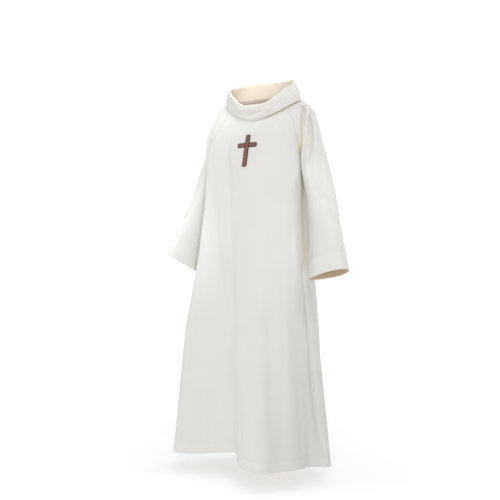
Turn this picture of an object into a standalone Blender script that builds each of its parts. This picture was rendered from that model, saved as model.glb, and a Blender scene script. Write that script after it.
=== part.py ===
"""Child's alb with a fold-over collar, hanging as worn, in the pieces a maker cuts and sews.

Frame: +X is the wearer's left, -Y the front and +Z up, in metres.  The origin is the middle
of the neck hole, at the height where the shoulders carry the robe.

The cloth is a thin hollow wall.  Body and sleeves are drawn by two functions, body_point and
sleeve_point, from the section and fold tables below.  Every piece is a grid of points on
those surfaces, and neighbours share the points along a seam before each edge draws back.
"""
import math

import bmesh
import bpy
import numpy as np

CLOTH = 0.0018            # thickness of the wall
SEAM_GAP = 0.0009         # clear width between two pieces at a seam

NECK, UNDERARM, HEM = 0.0, 1.0, 4.0    # levels of the body
CUFF = 2.0                             # last level of a sleeve

FRONT_COLUMNS = 24
BACK_COLUMNS = 20
SLEEVE_COLUMNS = 16
YOKE_ROWS = 8             # neck seam to underarm
SKIRT_ROWS = 13           # underarm to hem
ARM_ROWS = 9              # underarm to cuff

# Body sections.  Heights are at the side, front and back of the section, reaches are from its
# middle, lean is the rise for each metre to the left, and armhole is the share of the reach
# that the sleeve takes, forward and backward of the side.
BODY = {
    "level":      (0.00, 0.35, 0.70, 1.00, 2.00, 3.00, 4.00),
    "side_z":     (0.004, -0.042, -0.115, -0.205, -0.420, -0.700, -1.048),
    "front_z":    (-0.040, -0.092, -0.153, -0.222, -0.425, -0.700, -1.052),
    "back_z":     (0.014, -0.030, -0.105, -0.200, -0.415, -0.700, -1.048),
    "half_width": (0.110, 0.141, 0.157, 0.164, 0.186, 0.208, 0.236),
    "fore":       (0.056, 0.076, 0.102, 0.121, 0.131, 0.146, 0.168),
    "aft":        (0.066, 0.092, 0.108, 0.114, 0.124, 0.142, 0.168),
    "middle_x":   (0.006, 0.002, -0.003, -0.005, -0.008, -0.010, -0.012),
    "middle_y":   (-0.006, -0.003, -0.004, -0.010, -0.026, -0.038, -0.050),
    "lean":       (0.040, 0.036, 0.030, 0.022, 0.010, 0.000, 0.000),
    "armhole":    (0.55, 0.52, 0.38, 0.00, 0.00, 0.00, 0.00),
    "left_seam":  (90.0, 90.0, 90.0, 90.0, 83.0, 80.0, 91.0),
    "right_seam": (-90.0, -90.0, -90.0, -90.0, -90.0, -91.0, -92.0),
}

# Folds of the body: where each runs (degrees round from the front, towards the left) at its
# top level and at the hem, how far it stands out (+) or in (-) there, its spread on its right
# and left side, the level where it starts, and how steeply it grows.  It rises smoothly from
# nothing over FOLD_ONSET levels.
FOLD_ONSET = 0.6
BODY_FOLDS = (
    # name, top angle, hem angle, at top, at hem, spread right, spread left, start, growth
    ("hollow between the legs", -46, -9, 0.000, -0.098, 38, 15, 0.3, 1.5),
    ("swell over the left knee", 34, 31, 0.000, 0.034, 15, 17, 1.2, 1.4),
    ("crease beside the knee", 30, 41, 0.000, -0.007, 6, 6, 1.2, 1.0),
    ("left front crest", 46, 54, 0.000, 0.008, 8, 9, 1.0, 1.0),
    ("left front dip", 62, 72, 0.000, -0.010, 8, 7, 1.0, 1.0),
    ("left seam flare", 84, 91, 0.000, 0.026, 7, 6, 2.0, 1.2),
    ("dip behind the left seam", 102, 106, 0.000, -0.024, 8, 12, 1.6, 1.1),
    ("left back crest", 126, 126, 0.000, 0.014, 9, 9, 1.0, 1.2),
    ("left back dip", 142, 143, 0.000, -0.024, 9, 10, 0.8, 1.2),
    ("middle back crest", 166, 163, 0.000, 0.022, 11, 10, 0.7, 1.1),
    ("middle back dip", 188, 186, 0.000, -0.026, 9, 11, 0.7, 1.2),
    ("right back crest", 208, 209, 0.000, 0.024, 10, 10, 0.9, 1.2),
    ("right back dip", 228, 231, 0.000, -0.018, 9, 8, 1.0, 1.1),
    ("right seam flare", 262, 264, 0.000, 0.012, 11, 9, 1.6, 1.2),
    ("right front crest", 301, 293, 0.017, 0.018, 15, 15, 0.3, 1.0),
)

# Where the arms press the body in: angle, depth, spread and the levels between which it acts.
ARM_PRESSES = (
    ("left arm", 94, -0.026, 24, 0.3, 2.9),
    ("right arm", -92, -0.036, 30, 0.3, 2.9),
)
HEM_LIFT = 0.030          # the hem rises where the cloth falls back between the legs
HEM_LIFT_AT = -10
HEM_LIFT_SPREAD = (36, 11)              # on its right and on its left

# Sleeve sections.  out_* is the point on the outer edge.  The inner edge is given from the
# underarm point.  half_deep is half the depth from front to back, wrap tells how far the
# section has closed round the arm, and skew and rise turn its front edge outward and up.
LEFT_SLEEVE = {
    "level":     (0.00, 0.35, 0.70, 1.00, 1.33, 1.66, 2.00),
    "out_x":     (0.116, 0.157, 0.178, 0.199, 0.240, 0.274, 0.308),
    "out_y":     (-0.006, 0.000, 0.002, 0.002, -0.010, -0.032, -0.056),
    "out_z":     (0.0084, -0.012, -0.080, -0.168, -0.278, -0.374, -0.474),
    "in_x":      (0.0, 0.0, 0.0, 0.0, 0.018, 0.028, 0.038),
    "in_y":      (0.0, 0.0, 0.0, 0.0, -0.008, -0.022, -0.042),
    "in_z":      (0.0, 0.0, 0.0, 0.0, -0.095, -0.200, -0.305),
    "half_deep": (0.000, 0.012, 0.034, 0.054, 0.060, 0.056, 0.048),
    "wrap":      (0.00, 0.20, 0.56, 1.00, 1.00, 1.00, 1.00),
    "skew":      (0.0, 0.0, 0.0, 0.0, 0.12, 0.26, 0.40),
    "rise":      (0.0, 0.0, 0.0, 0.0, 0.10, 0.22, 0.34),
}
RIGHT_SLEEVE = {
    "level":     (0.00, 0.35, 0.70, 1.00, 1.33, 1.66, 2.00),
    "out_x":     (-0.104, -0.151, -0.179, -0.198, -0.219, -0.233, -0.250),
    "out_y":     (-0.006, 0.006, 0.016, 0.020, -0.002, -0.042, -0.088),
    "out_z":     (-0.0002, -0.024, -0.092, -0.176, -0.284, -0.370, -0.458),
    "in_x":      (0.0, 0.0, 0.0, 0.0, -0.014, -0.031, -0.054),
    "in_y":      (0.0, 0.0, 0.0, 0.0, -0.002, -0.022, -0.060),
    "in_z":      (0.0, 0.0, 0.0, 0.0, -0.088, -0.186, -0.286),
    "half_deep": (0.000, 0.012, 0.031, 0.048, 0.058, 0.060, 0.059),
    "wrap":      (0.00, 0.20, 0.56, 1.00, 1.00, 1.00, 1.00),
    "skew":      (0.0, 0.0, 0.0, 0.0, -0.03, -0.06, -0.10),
    "rise":      (0.0, 0.0, 0.0, 0.0, 0.12, 0.28, 0.42),
}

INNER_EDGE = 0.36         # how sharply the sleeve closes on its inner edge, from 0 for round

# Folds of a sleeve: share of the way round from the front seam, at the first and last level
# of the fold, its depth, its spread in shares, and those two levels.
SLEEVE_FOLDS = (
    # name, top share, end share, depth, spread, first level, last level
    ("front armhole crease", 0.27, 0.10, -0.008, 0.050, 0.15, 1.35),
    ("front pleat", 0.35, 0.18, 0.003, 0.050, 0.15, 1.40),
    ("second front crease", 0.43, 0.26, -0.009, 0.050, 0.15, 1.50),
    ("front crest", 0.44, 0.36, 0.004, 0.070, 0.90, 2.30),
    ("back crest", 0.60, 0.70, 0.005, 0.070, 0.30, 2.20),
    ("back armhole crease", 0.72, 0.88, -0.009, 0.060, 0.30, 1.60),
    ("inner back dip", 0.80, 0.80, -0.006, 0.060, 1.10, 2.30),
)

# Collar: height of the folded rim and how far the falling layer ends out from, and below,
# the neck seam, by angle round from the front.
COLLAR = {
    "angle":     (-180, -140, -90, -62, -36, -16, 0, 30, 60, 88, 114, 150, 180),
    "rim_z":     (0.063, 0.059, 0.045, 0.036, 0.016, -0.005, -0.008, -0.001, 0.028, 0.048, 0.067,
                  0.067, 0.063),
    "fall_out":  (0.012, 0.012, 0.009, 0.009, 0.011, 0.015, 0.018, 0.019, 0.018, 0.015, 0.014,
                  0.012, 0.012),
    "fall_drop": (0.004, 0.003, 0.000, 0.002, 0.006, 0.010, 0.012, 0.010, 0.005, 0.000, 0.001,
                  0.004, 0.004),
}
RIM_HALF_WIDTH = 0.097
RIM_FORE = 0.080
RIM_AFT = 0.080
RIM_MIDDLE_Y = -0.015
RIM_ROUND = 0.0034        # radius of the fold at the rim
COLLAR_LEG_ROWS = 3
COLLAR_FOLD_ROWS = 3

CROSS_CENTRE_X = 0.002
CROSS_CENTRE_Z = -0.123   # where the bars meet
CROSS_ARM = 0.032         # middle to the end of the crossbar
CROSS_TOP = 0.030
CROSS_FOOT = 0.062
CROSS_BAR = 0.014         # width of the bars
CROSS_STEP = 0.008        # spacing of the points along its edges
CROSS_TILT = math.radians(4.5)
CROSS_THICKNESS = 0.0016
CROSS_GAP = 0.0005        # between the cross and the front piece

CLOTH_COLOUR = (0.80, 0.79, 0.75, 1.0)
COLLAR_COLOUR = (0.79, 0.77, 0.71, 1.0)
CROSS_COLOUR = (0.26, 0.12, 0.07, 1.0)


def value(table, column, at):
    """Read a column of a section table at any level, along a smooth curve through its rows."""
    key = "level" if "level" in table else "angle"
    knots, values = table[key], table[column]
    last = len(knots) - 1
    i = max(0, min(last - 1, sum(1 for knot in knots[1:] if knot <= at)))

    def slope(k):
        before, after = max(0, k - 1), min(last, k + 1)
        return (values[after] - values[before]) / (knots[after] - knots[before])

    span = knots[i + 1] - knots[i]
    t = min(1.0, max(0.0, (at - knots[i]) / span))
    here, there = values[i], values[i + 1]
    return (here * (2 * t ** 3 - 3 * t ** 2 + 1) + there * (3 * t ** 2 - 2 * t ** 3)
            + slope(i) * span * (t ** 3 - 2 * t ** 2 + t) + slope(i + 1) * span * (t ** 3 - t ** 2))


def smooth_step(t):
    t = min(1.0, max(0.0, t))
    return t * t * (3 - 2 * t)


def turn(angle, about):
    """The signed angle from about to angle, the short way round."""
    return (angle - about + 180) % 360 - 180


def bump(distance, spread):
    return math.exp(-(distance / spread) ** 2)


def body_relief(angle, level):
    """How far the folds and the arms move the cloth out from the plain section."""
    relief = 0.0
    for _, top, end, at_top, at_hem, right, left, start, growth in BODY_FOLDS:
        if level <= start:
            continue
        grown = (level - start) / (HEM - start)
        away = turn(angle, top + (end - top) * smooth_step(grown))
        depth = at_top + (at_hem - at_top) * grown ** growth
        depth *= smooth_step((level - start) / FOLD_ONSET)
        relief += depth * bump(away, left if away > 0 else right)
    for _, at, depth, spread, first, last in ARM_PRESSES:
        if first < level < last:
            acts = math.sin(math.pi * (level - first) / (last - first))
            relief += depth * acts * bump(turn(angle, at), spread)
    return relief


def body_point(angle, level):
    """A point of the body's cloth: angle in degrees round from the front, towards the left."""
    here = {name: value(BODY, name, level) for name in BODY if name != "level"}
    across, ahead = math.sin(math.radians(angle)), math.cos(math.radians(angle))
    reach = here["fore"] if ahead > 0 else here["aft"]
    end_z = here["front_z"] if ahead > 0 else here["back_z"]
    x = here["middle_x"] + here["half_width"] * across
    y = here["middle_y"] - reach * ahead
    z = here["side_z"] + (end_z - here["side_z"]) * ahead ** 2 + here["lean"] * x
    outward = np.array((across / here["half_width"], -ahead / reach, 0.0))
    outward /= np.linalg.norm(outward)
    aside = turn(angle, HEM_LIFT_AT)
    lifted = HEM_LIFT * (level / HEM) ** 2 * bump(aside, HEM_LIFT_SPREAD[1 if aside > 0 else 0])
    return np.array((x, y, z + lifted)) + outward * body_relief(angle, level)


def seam_angle(side, part, level):
    """Where the seam on a side runs: the raglan seams above the underarm, the side seam below."""
    if level >= UNDERARM:
        return value(BODY, "left_seam" if side > 0 else "right_seam", level)
    opening = math.degrees(math.asin(max(0.0, value(BODY, "armhole", level))))
    return side * (90 - opening if part == "front" else 90 + opening)


def sleeve_point(side, share, level):
    """A point of a sleeve: share 0 is its front seam, 0.5 its outer edge and 1 its back seam."""
    table = LEFT_SLEEVE if side > 0 else RIGHT_SLEEVE
    outer = np.array([value(table, name, level) for name in ("out_x", "out_y", "out_z")])
    if level < UNDERARM:
        front = body_point(seam_angle(side, "front", level), level)
        back = body_point(seam_angle(side, "back", level), level)
        forward = (front - back) / np.linalg.norm(front - back)
    else:
        inner = np.array([value(table, name, level) for name in ("in_x", "in_y", "in_z")])
        front = back = body_point(seam_angle(side, "front", UNDERARM), UNDERARM) + inner
        forward = np.array((value(table, "skew", level), -1.0, value(table, "rise", level)))
        forward /= np.linalg.norm(forward)
    if share == 0.0:
        return front
    if share == 1.0:
        return back
    middle = (front + back) / 2
    opening = np.linalg.norm(front - back) / 2
    wrap, half_deep = value(table, "wrap", level), value(table, "half_deep", level)
    ahead = opening * (1 - 2 * share) + wrap * half_deep * math.sin(2 * math.pi * share)
    arch, loop = 4 * share * (1 - share), (1 - math.cos(2 * math.pi * share)) / 2
    out = arch + (loop - arch) * wrap * (1 - INNER_EDGE)
    return middle + forward * ahead + (outer - middle) * out


def sleeve_relief(share, level):
    relief = 0.0
    for _, top, end, depth, spread, first, last in SLEEVE_FOLDS:
        if first < level < last:
            along = (level - first) / (last - first)
            at = top + (end - top) * smooth_step(along)
            relief += depth * math.sin(math.pi * along) * bump(share - at, spread)
    return relief * math.sin(math.pi * share)


def grid_normals(grid):
    """Directions straight out of a grid of points, seen with its columns running to the right."""
    down = np.gradient(grid, axis=0)
    across = np.gradient(grid, axis=1)
    normals = np.cross(down, across)
    return normals / np.maximum(np.linalg.norm(normals, axis=2, keepdims=True), 1e-12)


def levels(first, middle, last, upper, lower):
    return list(np.linspace(first, middle, upper + 1)) + list(np.linspace(middle, last, lower + 1))[1:]


def body_piece(part):
    """The grid of the front or back piece, from the neck seam down, and from right to left."""
    columns = FRONT_COLUMNS if part == "front" else BACK_COLUMNS
    rows = []
    for level in levels(NECK, UNDERARM, HEM, YOKE_ROWS, SKIRT_ROWS):
        right, left = seam_angle(-1, part, level), seam_angle(1, part, level)
        if part == "back":
            right, left = left, right + 360
        rows.append([body_point(angle, level) for angle in np.linspace(right, left, columns + 1)])
    return np.array(rows)


def sleeve_piece(side):
    """The grid of a sleeve, from the neck seam to the cuff, and from front seam to back seam."""
    shares = np.linspace(0, 1, SLEEVE_COLUMNS + 1)
    rows = levels(NECK, UNDERARM, CUFF, YOKE_ROWS, ARM_ROWS)
    plain = np.array([[sleeve_point(side, share, level) for share in shares] for level in rows])
    relief = np.array([[sleeve_relief(share, level) for share in shares] for level in rows])
    grid = plain + side * grid_normals(plain) * relief[:, :, None]
    grid[:, 0], grid[:, -1] = plain[:, 0], plain[:, -1]
    grid[0] = plain[0]
    return grid if side > 0 else grid[:, ::-1]


def collar_column(seam_point):
    """The collar above one point of the neck seam: up, over the rim and down to its free edge."""
    middle = np.array((value(BODY, "middle_x", NECK), RIM_MIDDLE_Y, 0.0))
    away = seam_point - middle
    angle = math.degrees(math.atan2(away[0] / RIM_HALF_WIDTH, -away[1] / RIM_FORE))
    across, ahead = math.sin(math.radians(angle)), math.cos(math.radians(angle))
    outward = np.array((across, -ahead, 0.0))
    rim = np.array((middle[0] + RIM_HALF_WIDTH * across,
                    RIM_MIDDLE_Y - (RIM_FORE if ahead > 0 else RIM_AFT) * ahead,
                    value(COLLAR, "rim_z", angle)))
    edge = seam_point + outward * value(COLLAR, "fall_out", angle)
    edge[2] -= value(COLLAR, "fall_drop", angle)
    crown = rim - np.array((0, 0, RIM_ROUND))
    inner_top = crown - outward * RIM_ROUND
    outer_top = crown + outward * RIM_ROUND
    rising = [seam_point + (inner_top - seam_point) * t for t in np.linspace(0, 1, COLLAR_LEG_ROWS + 1)]
    turning = [crown + RIM_ROUND * (np.array((0, 0, math.sin(a))) - outward * math.cos(a))
               for a in np.linspace(0, math.pi, COLLAR_FOLD_ROWS + 1)[1:-1]]
    falling = [outer_top + (edge - outer_top) * t for t in np.linspace(0, 1, COLLAR_LEG_ROWS + 1)]
    return rising + turning + falling


def collar_pieces(front, back, left, right):
    """The two collar grids, on the neck seam of the four body pieces, joined at the shoulders."""
    half = SLEEVE_COLUMNS // 2
    front_ring = list(right[0][half:]) + list(front[0][1:-1]) + list(left[0][:half + 1])
    back_ring = list(left[0][half:]) + list(back[0][1:-1]) + list(right[0][:half + 1])
    return [np.array([collar_column(point) for point in ring]).transpose(1, 0, 2)[::-1]
            for ring in (front_ring, back_ring)]


def place_key(point):
    return tuple(int(round(c * 1e6)) for c in point)


def shared_normals(grids):
    """Directions through the cloth at every grid point, averaged across the seams.

    At each underarm point body and sleeve turn back on each other, so the direction there is
    the one that halves that turn: straight up.
    """
    total = {}
    for grid in grids:
        for i in range(grid.shape[0] - 1):
            for j in range(grid.shape[1] - 1):
                a, b, c, d = grid[i, j], grid[i, j + 1], grid[i + 1, j + 1], grid[i + 1, j]
                normal = np.cross(c - a, d - b)
                for corner in (a, b, c, d):
                    total[place_key(corner)] = total.get(place_key(corner), np.zeros(3)) + normal
    for side in (-1, 1):
        underarm = body_point(seam_angle(side, "front", UNDERARM), UNDERARM)
        total[place_key(underarm)] = np.array((0, 0, 1.0))
    unit = {place: normal / np.linalg.norm(normal) for place, normal in total.items()}
    return [np.array([[unit[place_key(p)] for p in row] for row in grid]) for grid in grids]


def inward(grid):
    """For each edge point of a grid, the direction to the points inside it."""
    heading = np.zeros(grid.shape)
    for edge, inside in ((np.s_[0, :], np.s_[1, :]), (np.s_[-1, :], np.s_[-2, :]),
                         (np.s_[:, 0], np.s_[:, 1]), (np.s_[:, -1], np.s_[:, -2])):
        step = grid[inside] - grid[edge]
        heading[edge] += step / np.linalg.norm(step, axis=1, keepdims=True)
    return heading


def drawn_back(grids):
    """The grids with their edges moved apart by the seam gap, each away from its neighbours."""
    headings = [inward(grid) for grid in grids]
    meeting = {}
    for grid, heading in zip(grids, headings):
        for i, j in zip(*np.nonzero(heading.any(axis=2))):
            meeting.setdefault(place_key(grid[i, j]), []).append(heading[i, j])
    moved = []
    for grid, heading in zip(grids, headings):
        grid = grid.copy()
        for i, j in zip(*np.nonzero(heading.any(axis=2))):
            together = meeting[place_key(grid[i, j])]
            others = sum(together) - heading[i, j]
            away = heading[i, j] - others / max(1, len(together) - 1)
            grid[i, j] += away / np.linalg.norm(away) * SEAM_GAP / 2
        moved.append(grid)
    return moved


def material(name, colour, roughness):
    made = bpy.data.materials.new(name)
    made.use_nodes = True
    shader = made.node_tree.nodes["Principled BSDF"]
    shader.inputs["Base Color"].default_value = colour
    shader.inputs["Roughness"].default_value = roughness
    shader.inputs["Metallic"].default_value = 0.0
    return made


def closed_solid(name, points, faces, finish):
    """An object of one closed body, its faces turned outward."""
    mesh = bpy.data.meshes.new(name)
    shell = bmesh.new()
    corners = [shell.verts.new(point) for point in points]
    for face in faces:
        shell.faces.new([corners[i] for i in face])
    bmesh.ops.recalc_face_normals(shell, faces=shell.faces)
    shell.to_mesh(mesh)
    shell.free()
    mesh.shade_smooth()
    mesh.materials.append(finish)
    made = bpy.data.objects.new(name, mesh)
    bpy.context.scene.collection.objects.link(made)
    return made


def closed_wall(name, outer, inner, finish):
    """A solid between two equal grids, with its four edges closed."""
    rows, columns = outer.shape[:2]
    points = list(outer.reshape(-1, 3)) + list(inner.reshape(-1, 3))

    def at(i, j, layer):
        return (layer * rows + i) * columns + j

    faces = []
    for i in range(rows - 1):
        for j in range(columns - 1):
            for layer in (0, 1):
                a, b = at(i, j, layer), at(i + 1, j, layer)
                c, d = at(i + 1, j + 1, layer), at(i, j + 1, layer)
                faces += [(a, b, c), (a, c, d)]
    rim = ([(0, j) for j in range(columns)] + [(i, columns - 1) for i in range(1, rows)]
           + [(rows - 1, j) for j in range(columns - 2, -1, -1)]
           + [(i, 0) for i in range(rows - 2, 0, -1)])
    for here, there in zip(rim, rim[1:] + rim[:1]):
        a, b, c, d = at(*here, 0), at(*there, 0), at(*there, 1), at(*here, 1)
        faces += [(a, b, c), (a, c, d)]
    return closed_solid(name, points, faces, finish)


def on_front(x, z):
    """The point of the front piece at a place across and up, with the direction out of it."""
    angle, level = 0.0, 0.5
    step = 1e-3
    for _ in range(12):
        point = body_point(angle, level)
        by_angle = (body_point(angle + step, level) - point) / step
        by_level = (body_point(angle, level + step) - point) / step
        slopes = np.array(((by_angle[0], by_level[0]), (by_angle[2], by_level[2])))
        change = np.linalg.solve(slopes, np.array((x - point[0], z - point[2])))
        angle, level = angle + change[0], level + change[1]
    outward = np.cross(by_angle, by_level)
    return body_point(angle, level), outward / np.linalg.norm(outward) * (1 if outward[1] < 0 else -1)


def cross_plan():
    """The flat cross: its points and faces, each bar a ladder of points with a half round end."""
    half = CROSS_BAR / 2
    points = [np.array((half * a, half * b)) for a, b in ((1, -1), (1, 1), (-1, 1), (-1, -1))]
    faces = [(0, 1, 2), (0, 2, 3)]
    rim = []
    for quarter, length in enumerate((CROSS_ARM, CROSS_TOP, CROSS_ARM, CROSS_FOOT)):
        heading = quarter * math.pi / 2
        along = np.array((math.cos(heading), math.sin(heading)))
        beside = np.array((-along[1], along[0]))
        low, high = [quarter], [(quarter + 1) % 4]
        for t in np.linspace(half, length - half, max(2, round(length / CROSS_STEP)))[1:]:
            points += [along * t - beside * half, along * t + beside * half]
            low.append(len(points) - 2)
            high.append(len(points) - 1)
            faces += [(low[-2], low[-1], high[-1]), (low[-2], high[-1], high[-2])]
        arc = [low[-1]]
        for a in np.linspace(-math.pi / 2, math.pi / 2, 7)[1:-1]:
            points.append(along * (length - half) + half * (along * math.cos(a) + beside * math.sin(a)))
            arc.append(len(points) - 1)
        arc.append(high[-1])
        faces += [(arc[0], arc[k], arc[k + 1]) for k in range(1, len(arc) - 1)]
        rim += low[:-1] + arc + high[-2:0:-1]
    return points, faces, rim


def chest_cross(finish):
    """The cross, bent to the front piece and laid on it."""
    plan, faces, rim = cross_plan()
    turned = np.array(((math.cos(CROSS_TILT), -math.sin(CROSS_TILT)),
                       (math.sin(CROSS_TILT), math.cos(CROSS_TILT))))
    under, over = [], []
    for place in plan:
        x, z = turned @ place + np.array((CROSS_CENTRE_X, CROSS_CENTRE_Z))
        point, outward = on_front(x, z)
        under.append(point + outward * (CLOTH / 2 + CROSS_GAP))
        over.append(under[-1] + outward * CROSS_THICKNESS)
    count = len(plan)
    faces = faces + [tuple(i + count for i in face) for face in faces]
    for i, j in zip(rim, rim[1:] + rim[:1]):
        faces += [(i, j, j + count), (i, j + count, i + count)]
    return closed_solid("chest_cross", under + over, faces, finish)


def main():
    for old in list(bpy.data.objects):
        bpy.data.objects.remove(old)
    cloth = material("ivory cloth", CLOTH_COLOUR, 0.85)
    collar_cloth = material("collar cloth", COLLAR_COLOUR, 0.85)
    front, back = body_piece("front"), body_piece("back")
    left, right = sleeve_piece(1), sleeve_piece(-1)
    collar_front, collar_back = collar_pieces(front, back, left, right)
    names = ("front_piece", "back_piece", "left_sleeve", "right_sleeve", "collar_front", "collar_back")
    grids = (front, back, left, right, collar_front, collar_back)
    for name, grid, through in zip(names, drawn_back(grids), shared_normals(grids)):
        finish = collar_cloth if "collar" in name else cloth
        closed_wall(name, grid - through * CLOTH / 2, grid + through * CLOTH / 2, finish)
    chest_cross(material("brown cross", CROSS_COLOUR, 0.6))


main()
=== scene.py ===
"""Looks of a child's ivory alb with a fold-over collar, hollow and hanging as it is worn.

Frame: +X is the wearer's left, -Y the front and +Z up, in metres.  The cloth pieces are drawn
on the same sections and folds as the solids that they replace, with finer creases, turned-up
hems, seam allowances and stitches added.
"""
import math

import bmesh
import bpy
import numpy as np
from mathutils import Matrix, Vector


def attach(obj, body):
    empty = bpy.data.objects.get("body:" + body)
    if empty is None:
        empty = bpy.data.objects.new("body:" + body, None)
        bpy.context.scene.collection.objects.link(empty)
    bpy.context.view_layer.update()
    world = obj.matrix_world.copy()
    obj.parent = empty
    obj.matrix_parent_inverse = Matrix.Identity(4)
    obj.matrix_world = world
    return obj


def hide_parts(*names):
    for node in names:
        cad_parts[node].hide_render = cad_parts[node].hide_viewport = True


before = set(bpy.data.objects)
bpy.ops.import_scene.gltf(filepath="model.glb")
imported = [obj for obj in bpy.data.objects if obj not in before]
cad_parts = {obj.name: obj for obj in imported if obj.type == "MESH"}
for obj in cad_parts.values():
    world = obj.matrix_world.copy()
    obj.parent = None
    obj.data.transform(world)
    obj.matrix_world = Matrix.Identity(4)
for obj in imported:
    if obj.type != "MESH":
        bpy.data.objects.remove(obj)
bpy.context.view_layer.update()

# ---------------------------------------------------------------- sizes and tables

CLOTH = 0.0011            # thickness of the cloth
NECK, UNDERARM, HEM, CUFF = 0.0, 1.0, 4.0, 2.0    # levels of the body and of the sleeves

# Section tables, read along smooth curves: the body by level here, the sleeves and the collar below
BODY = {
    "level":      (0.00, 0.35, 0.70, 1.00, 2.00, 3.00, 4.00),
    "side_z":     (0.004, -0.042, -0.115, -0.205, -0.420, -0.700, -1.048),
    "front_z":    (-0.040, -0.092, -0.153, -0.222, -0.425, -0.700, -1.052),
    "back_z":     (0.014, -0.030, -0.105, -0.200, -0.415, -0.700, -1.048),
    "half_width": (0.110, 0.141, 0.157, 0.164, 0.186, 0.208, 0.236),
    "fore":       (0.056, 0.076, 0.102, 0.121, 0.131, 0.146, 0.168),
    "aft":        (0.066, 0.092, 0.108, 0.114, 0.124, 0.142, 0.168),
    "middle_x":   (0.006, 0.002, -0.003, -0.005, -0.008, -0.010, -0.012),
    "middle_y":   (-0.006, -0.003, -0.004, -0.010, -0.026, -0.038, -0.050),
    "lean":       (0.040, 0.036, 0.030, 0.022, 0.010, 0.000, 0.000),
    "armhole":    (0.55, 0.52, 0.38, 0.00, 0.00, 0.00, 0.00),
    "left_seam":  (90.0, 90.0, 90.0, 90.0, 83.0, 80.0, 91.0),
    "right_seam": (-90.0, -90.0, -90.0, -90.0, -90.0, -91.0, -92.0),
}
FOLD_ONSET = 0.6          # levels over which a fold comes in
BODY_FOLDS = (
    # name, top angle, hem angle, at top, at hem, spread right, spread left, start, growth
    ("hollow between the legs", -46, -6.5, 0.000, -0.098, 38, 15, 0.3, 1.5),
    ("swell over the left knee", 34, 31, 0.000, 0.034, 15, 17, 1.2, 1.4),
    ("crease beside the knee", 30, 41, 0.000, -0.007, 6, 6, 1.2, 1.0),
    ("left front crest", 46, 54, 0.000, 0.008, 8, 9, 1.0, 1.0),
    ("left front dip", 62, 72, 0.000, -0.010, 8, 7, 1.0, 1.0),
    ("left seam flare", 84, 91, 0.000, 0.026, 7, 6, 2.0, 1.2),
    ("dip behind the left seam", 102, 106, 0.000, -0.024, 8, 12, 1.6, 1.1),
    ("left back crest", 126, 126, 0.000, 0.014, 9, 9, 1.0, 1.2),
    ("left back dip", 142, 143, 0.000, -0.024, 9, 10, 0.8, 1.2),
    ("middle back crest", 166, 163, 0.000, 0.022, 11, 10, 0.7, 1.1),
    ("middle back dip", 188, 186, 0.000, -0.026, 9, 11, 0.7, 1.2),
    ("right back crest", 208, 209, 0.000, 0.024, 10, 10, 0.9, 1.2),
    ("right back dip", 228, 231, 0.000, -0.018, 9, 8, 1.0, 1.1),
    ("right seam flare", 262, 264, 0.000, 0.012, 11, 9, 1.6, 1.2),
    ("right front crest", 301, 293, 0.017, 0.018, 15, 15, 0.3, 1.0),
)
ARM_PRESSES = (
    # name, angle, depth, spread, first level, last level
    ("left arm", 94, -0.026, 24, 0.3, 2.9),
    ("right arm", -92, -0.036, 30, 0.3, 2.9),
)
# How the hem hangs higher: between the legs, and along the left half of the front
HEM_LIFT, HEM_LIFT_AT = 0.029, -5
HEM_LIFT_SPREAD = (48, 12)                       # degrees towards the right and towards the left
HEM_RISES = ((0.009, 14, 15), (0.012, 52, 30))   # rise, angle, spread

LEFT_SLEEVE = {
    "level":     (0.00, 0.35, 0.70, 1.00, 1.33, 1.66, 2.00),
    "out_x":     (0.116, 0.157, 0.178, 0.199, 0.240, 0.274, 0.308),
    "out_y":     (-0.006, 0.000, 0.002, 0.002, -0.010, -0.032, -0.056),
    "out_z":     (0.0084, -0.012, -0.080, -0.168, -0.278, -0.374, -0.474),
    "in_x":      (0.0, 0.0, 0.0, 0.0, 0.018, 0.028, 0.038),
    "in_y":      (0.0, 0.0, 0.0, 0.0, -0.008, -0.022, -0.042),
    "in_z":      (0.0, 0.0, 0.0, 0.0, -0.095, -0.200, -0.305),
    "half_deep": (0.000, 0.012, 0.034, 0.054, 0.060, 0.056, 0.048),
    "wrap":      (0.00, 0.20, 0.56, 1.00, 1.00, 1.00, 1.00),
    "skew":      (0.0, 0.0, 0.0, 0.0, 0.12, 0.26, 0.40),
    "rise":      (0.0, 0.0, 0.0, 0.0, 0.10, 0.22, 0.34),
}
RIGHT_SLEEVE = {
    "level":     (0.00, 0.35, 0.70, 1.00, 1.33, 1.66, 2.00),
    "out_x":     (-0.104, -0.151, -0.179, -0.198, -0.219, -0.233, -0.250),
    "out_y":     (-0.006, 0.006, 0.016, 0.020, -0.002, -0.042, -0.088),
    "out_z":     (-0.0002, -0.024, -0.092, -0.176, -0.284, -0.370, -0.458),
    "in_x":      (0.0, 0.0, 0.0, 0.0, -0.014, -0.031, -0.054),
    "in_y":      (0.0, 0.0, 0.0, 0.0, -0.002, -0.022, -0.060),
    "in_z":      (0.0, 0.0, 0.0, 0.0, -0.088, -0.186, -0.286),
    "half_deep": (0.000, 0.012, 0.031, 0.048, 0.058, 0.060, 0.059),
    "wrap":      (0.00, 0.20, 0.56, 1.00, 1.00, 1.00, 1.00),
    "skew":      (0.0, 0.0, 0.0, 0.0, -0.03, -0.06, -0.10),
    "rise":      (0.0, 0.0, 0.0, 0.0, 0.12, 0.28, 0.42),
}
INNER_EDGE = 0.36         # how sharply the sleeve closes on its inner edge, from 0 for round
CLOSING = (0.72, 0.28)    # the level where a sleeve starts to close under the arm, and over how many levels
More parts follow.
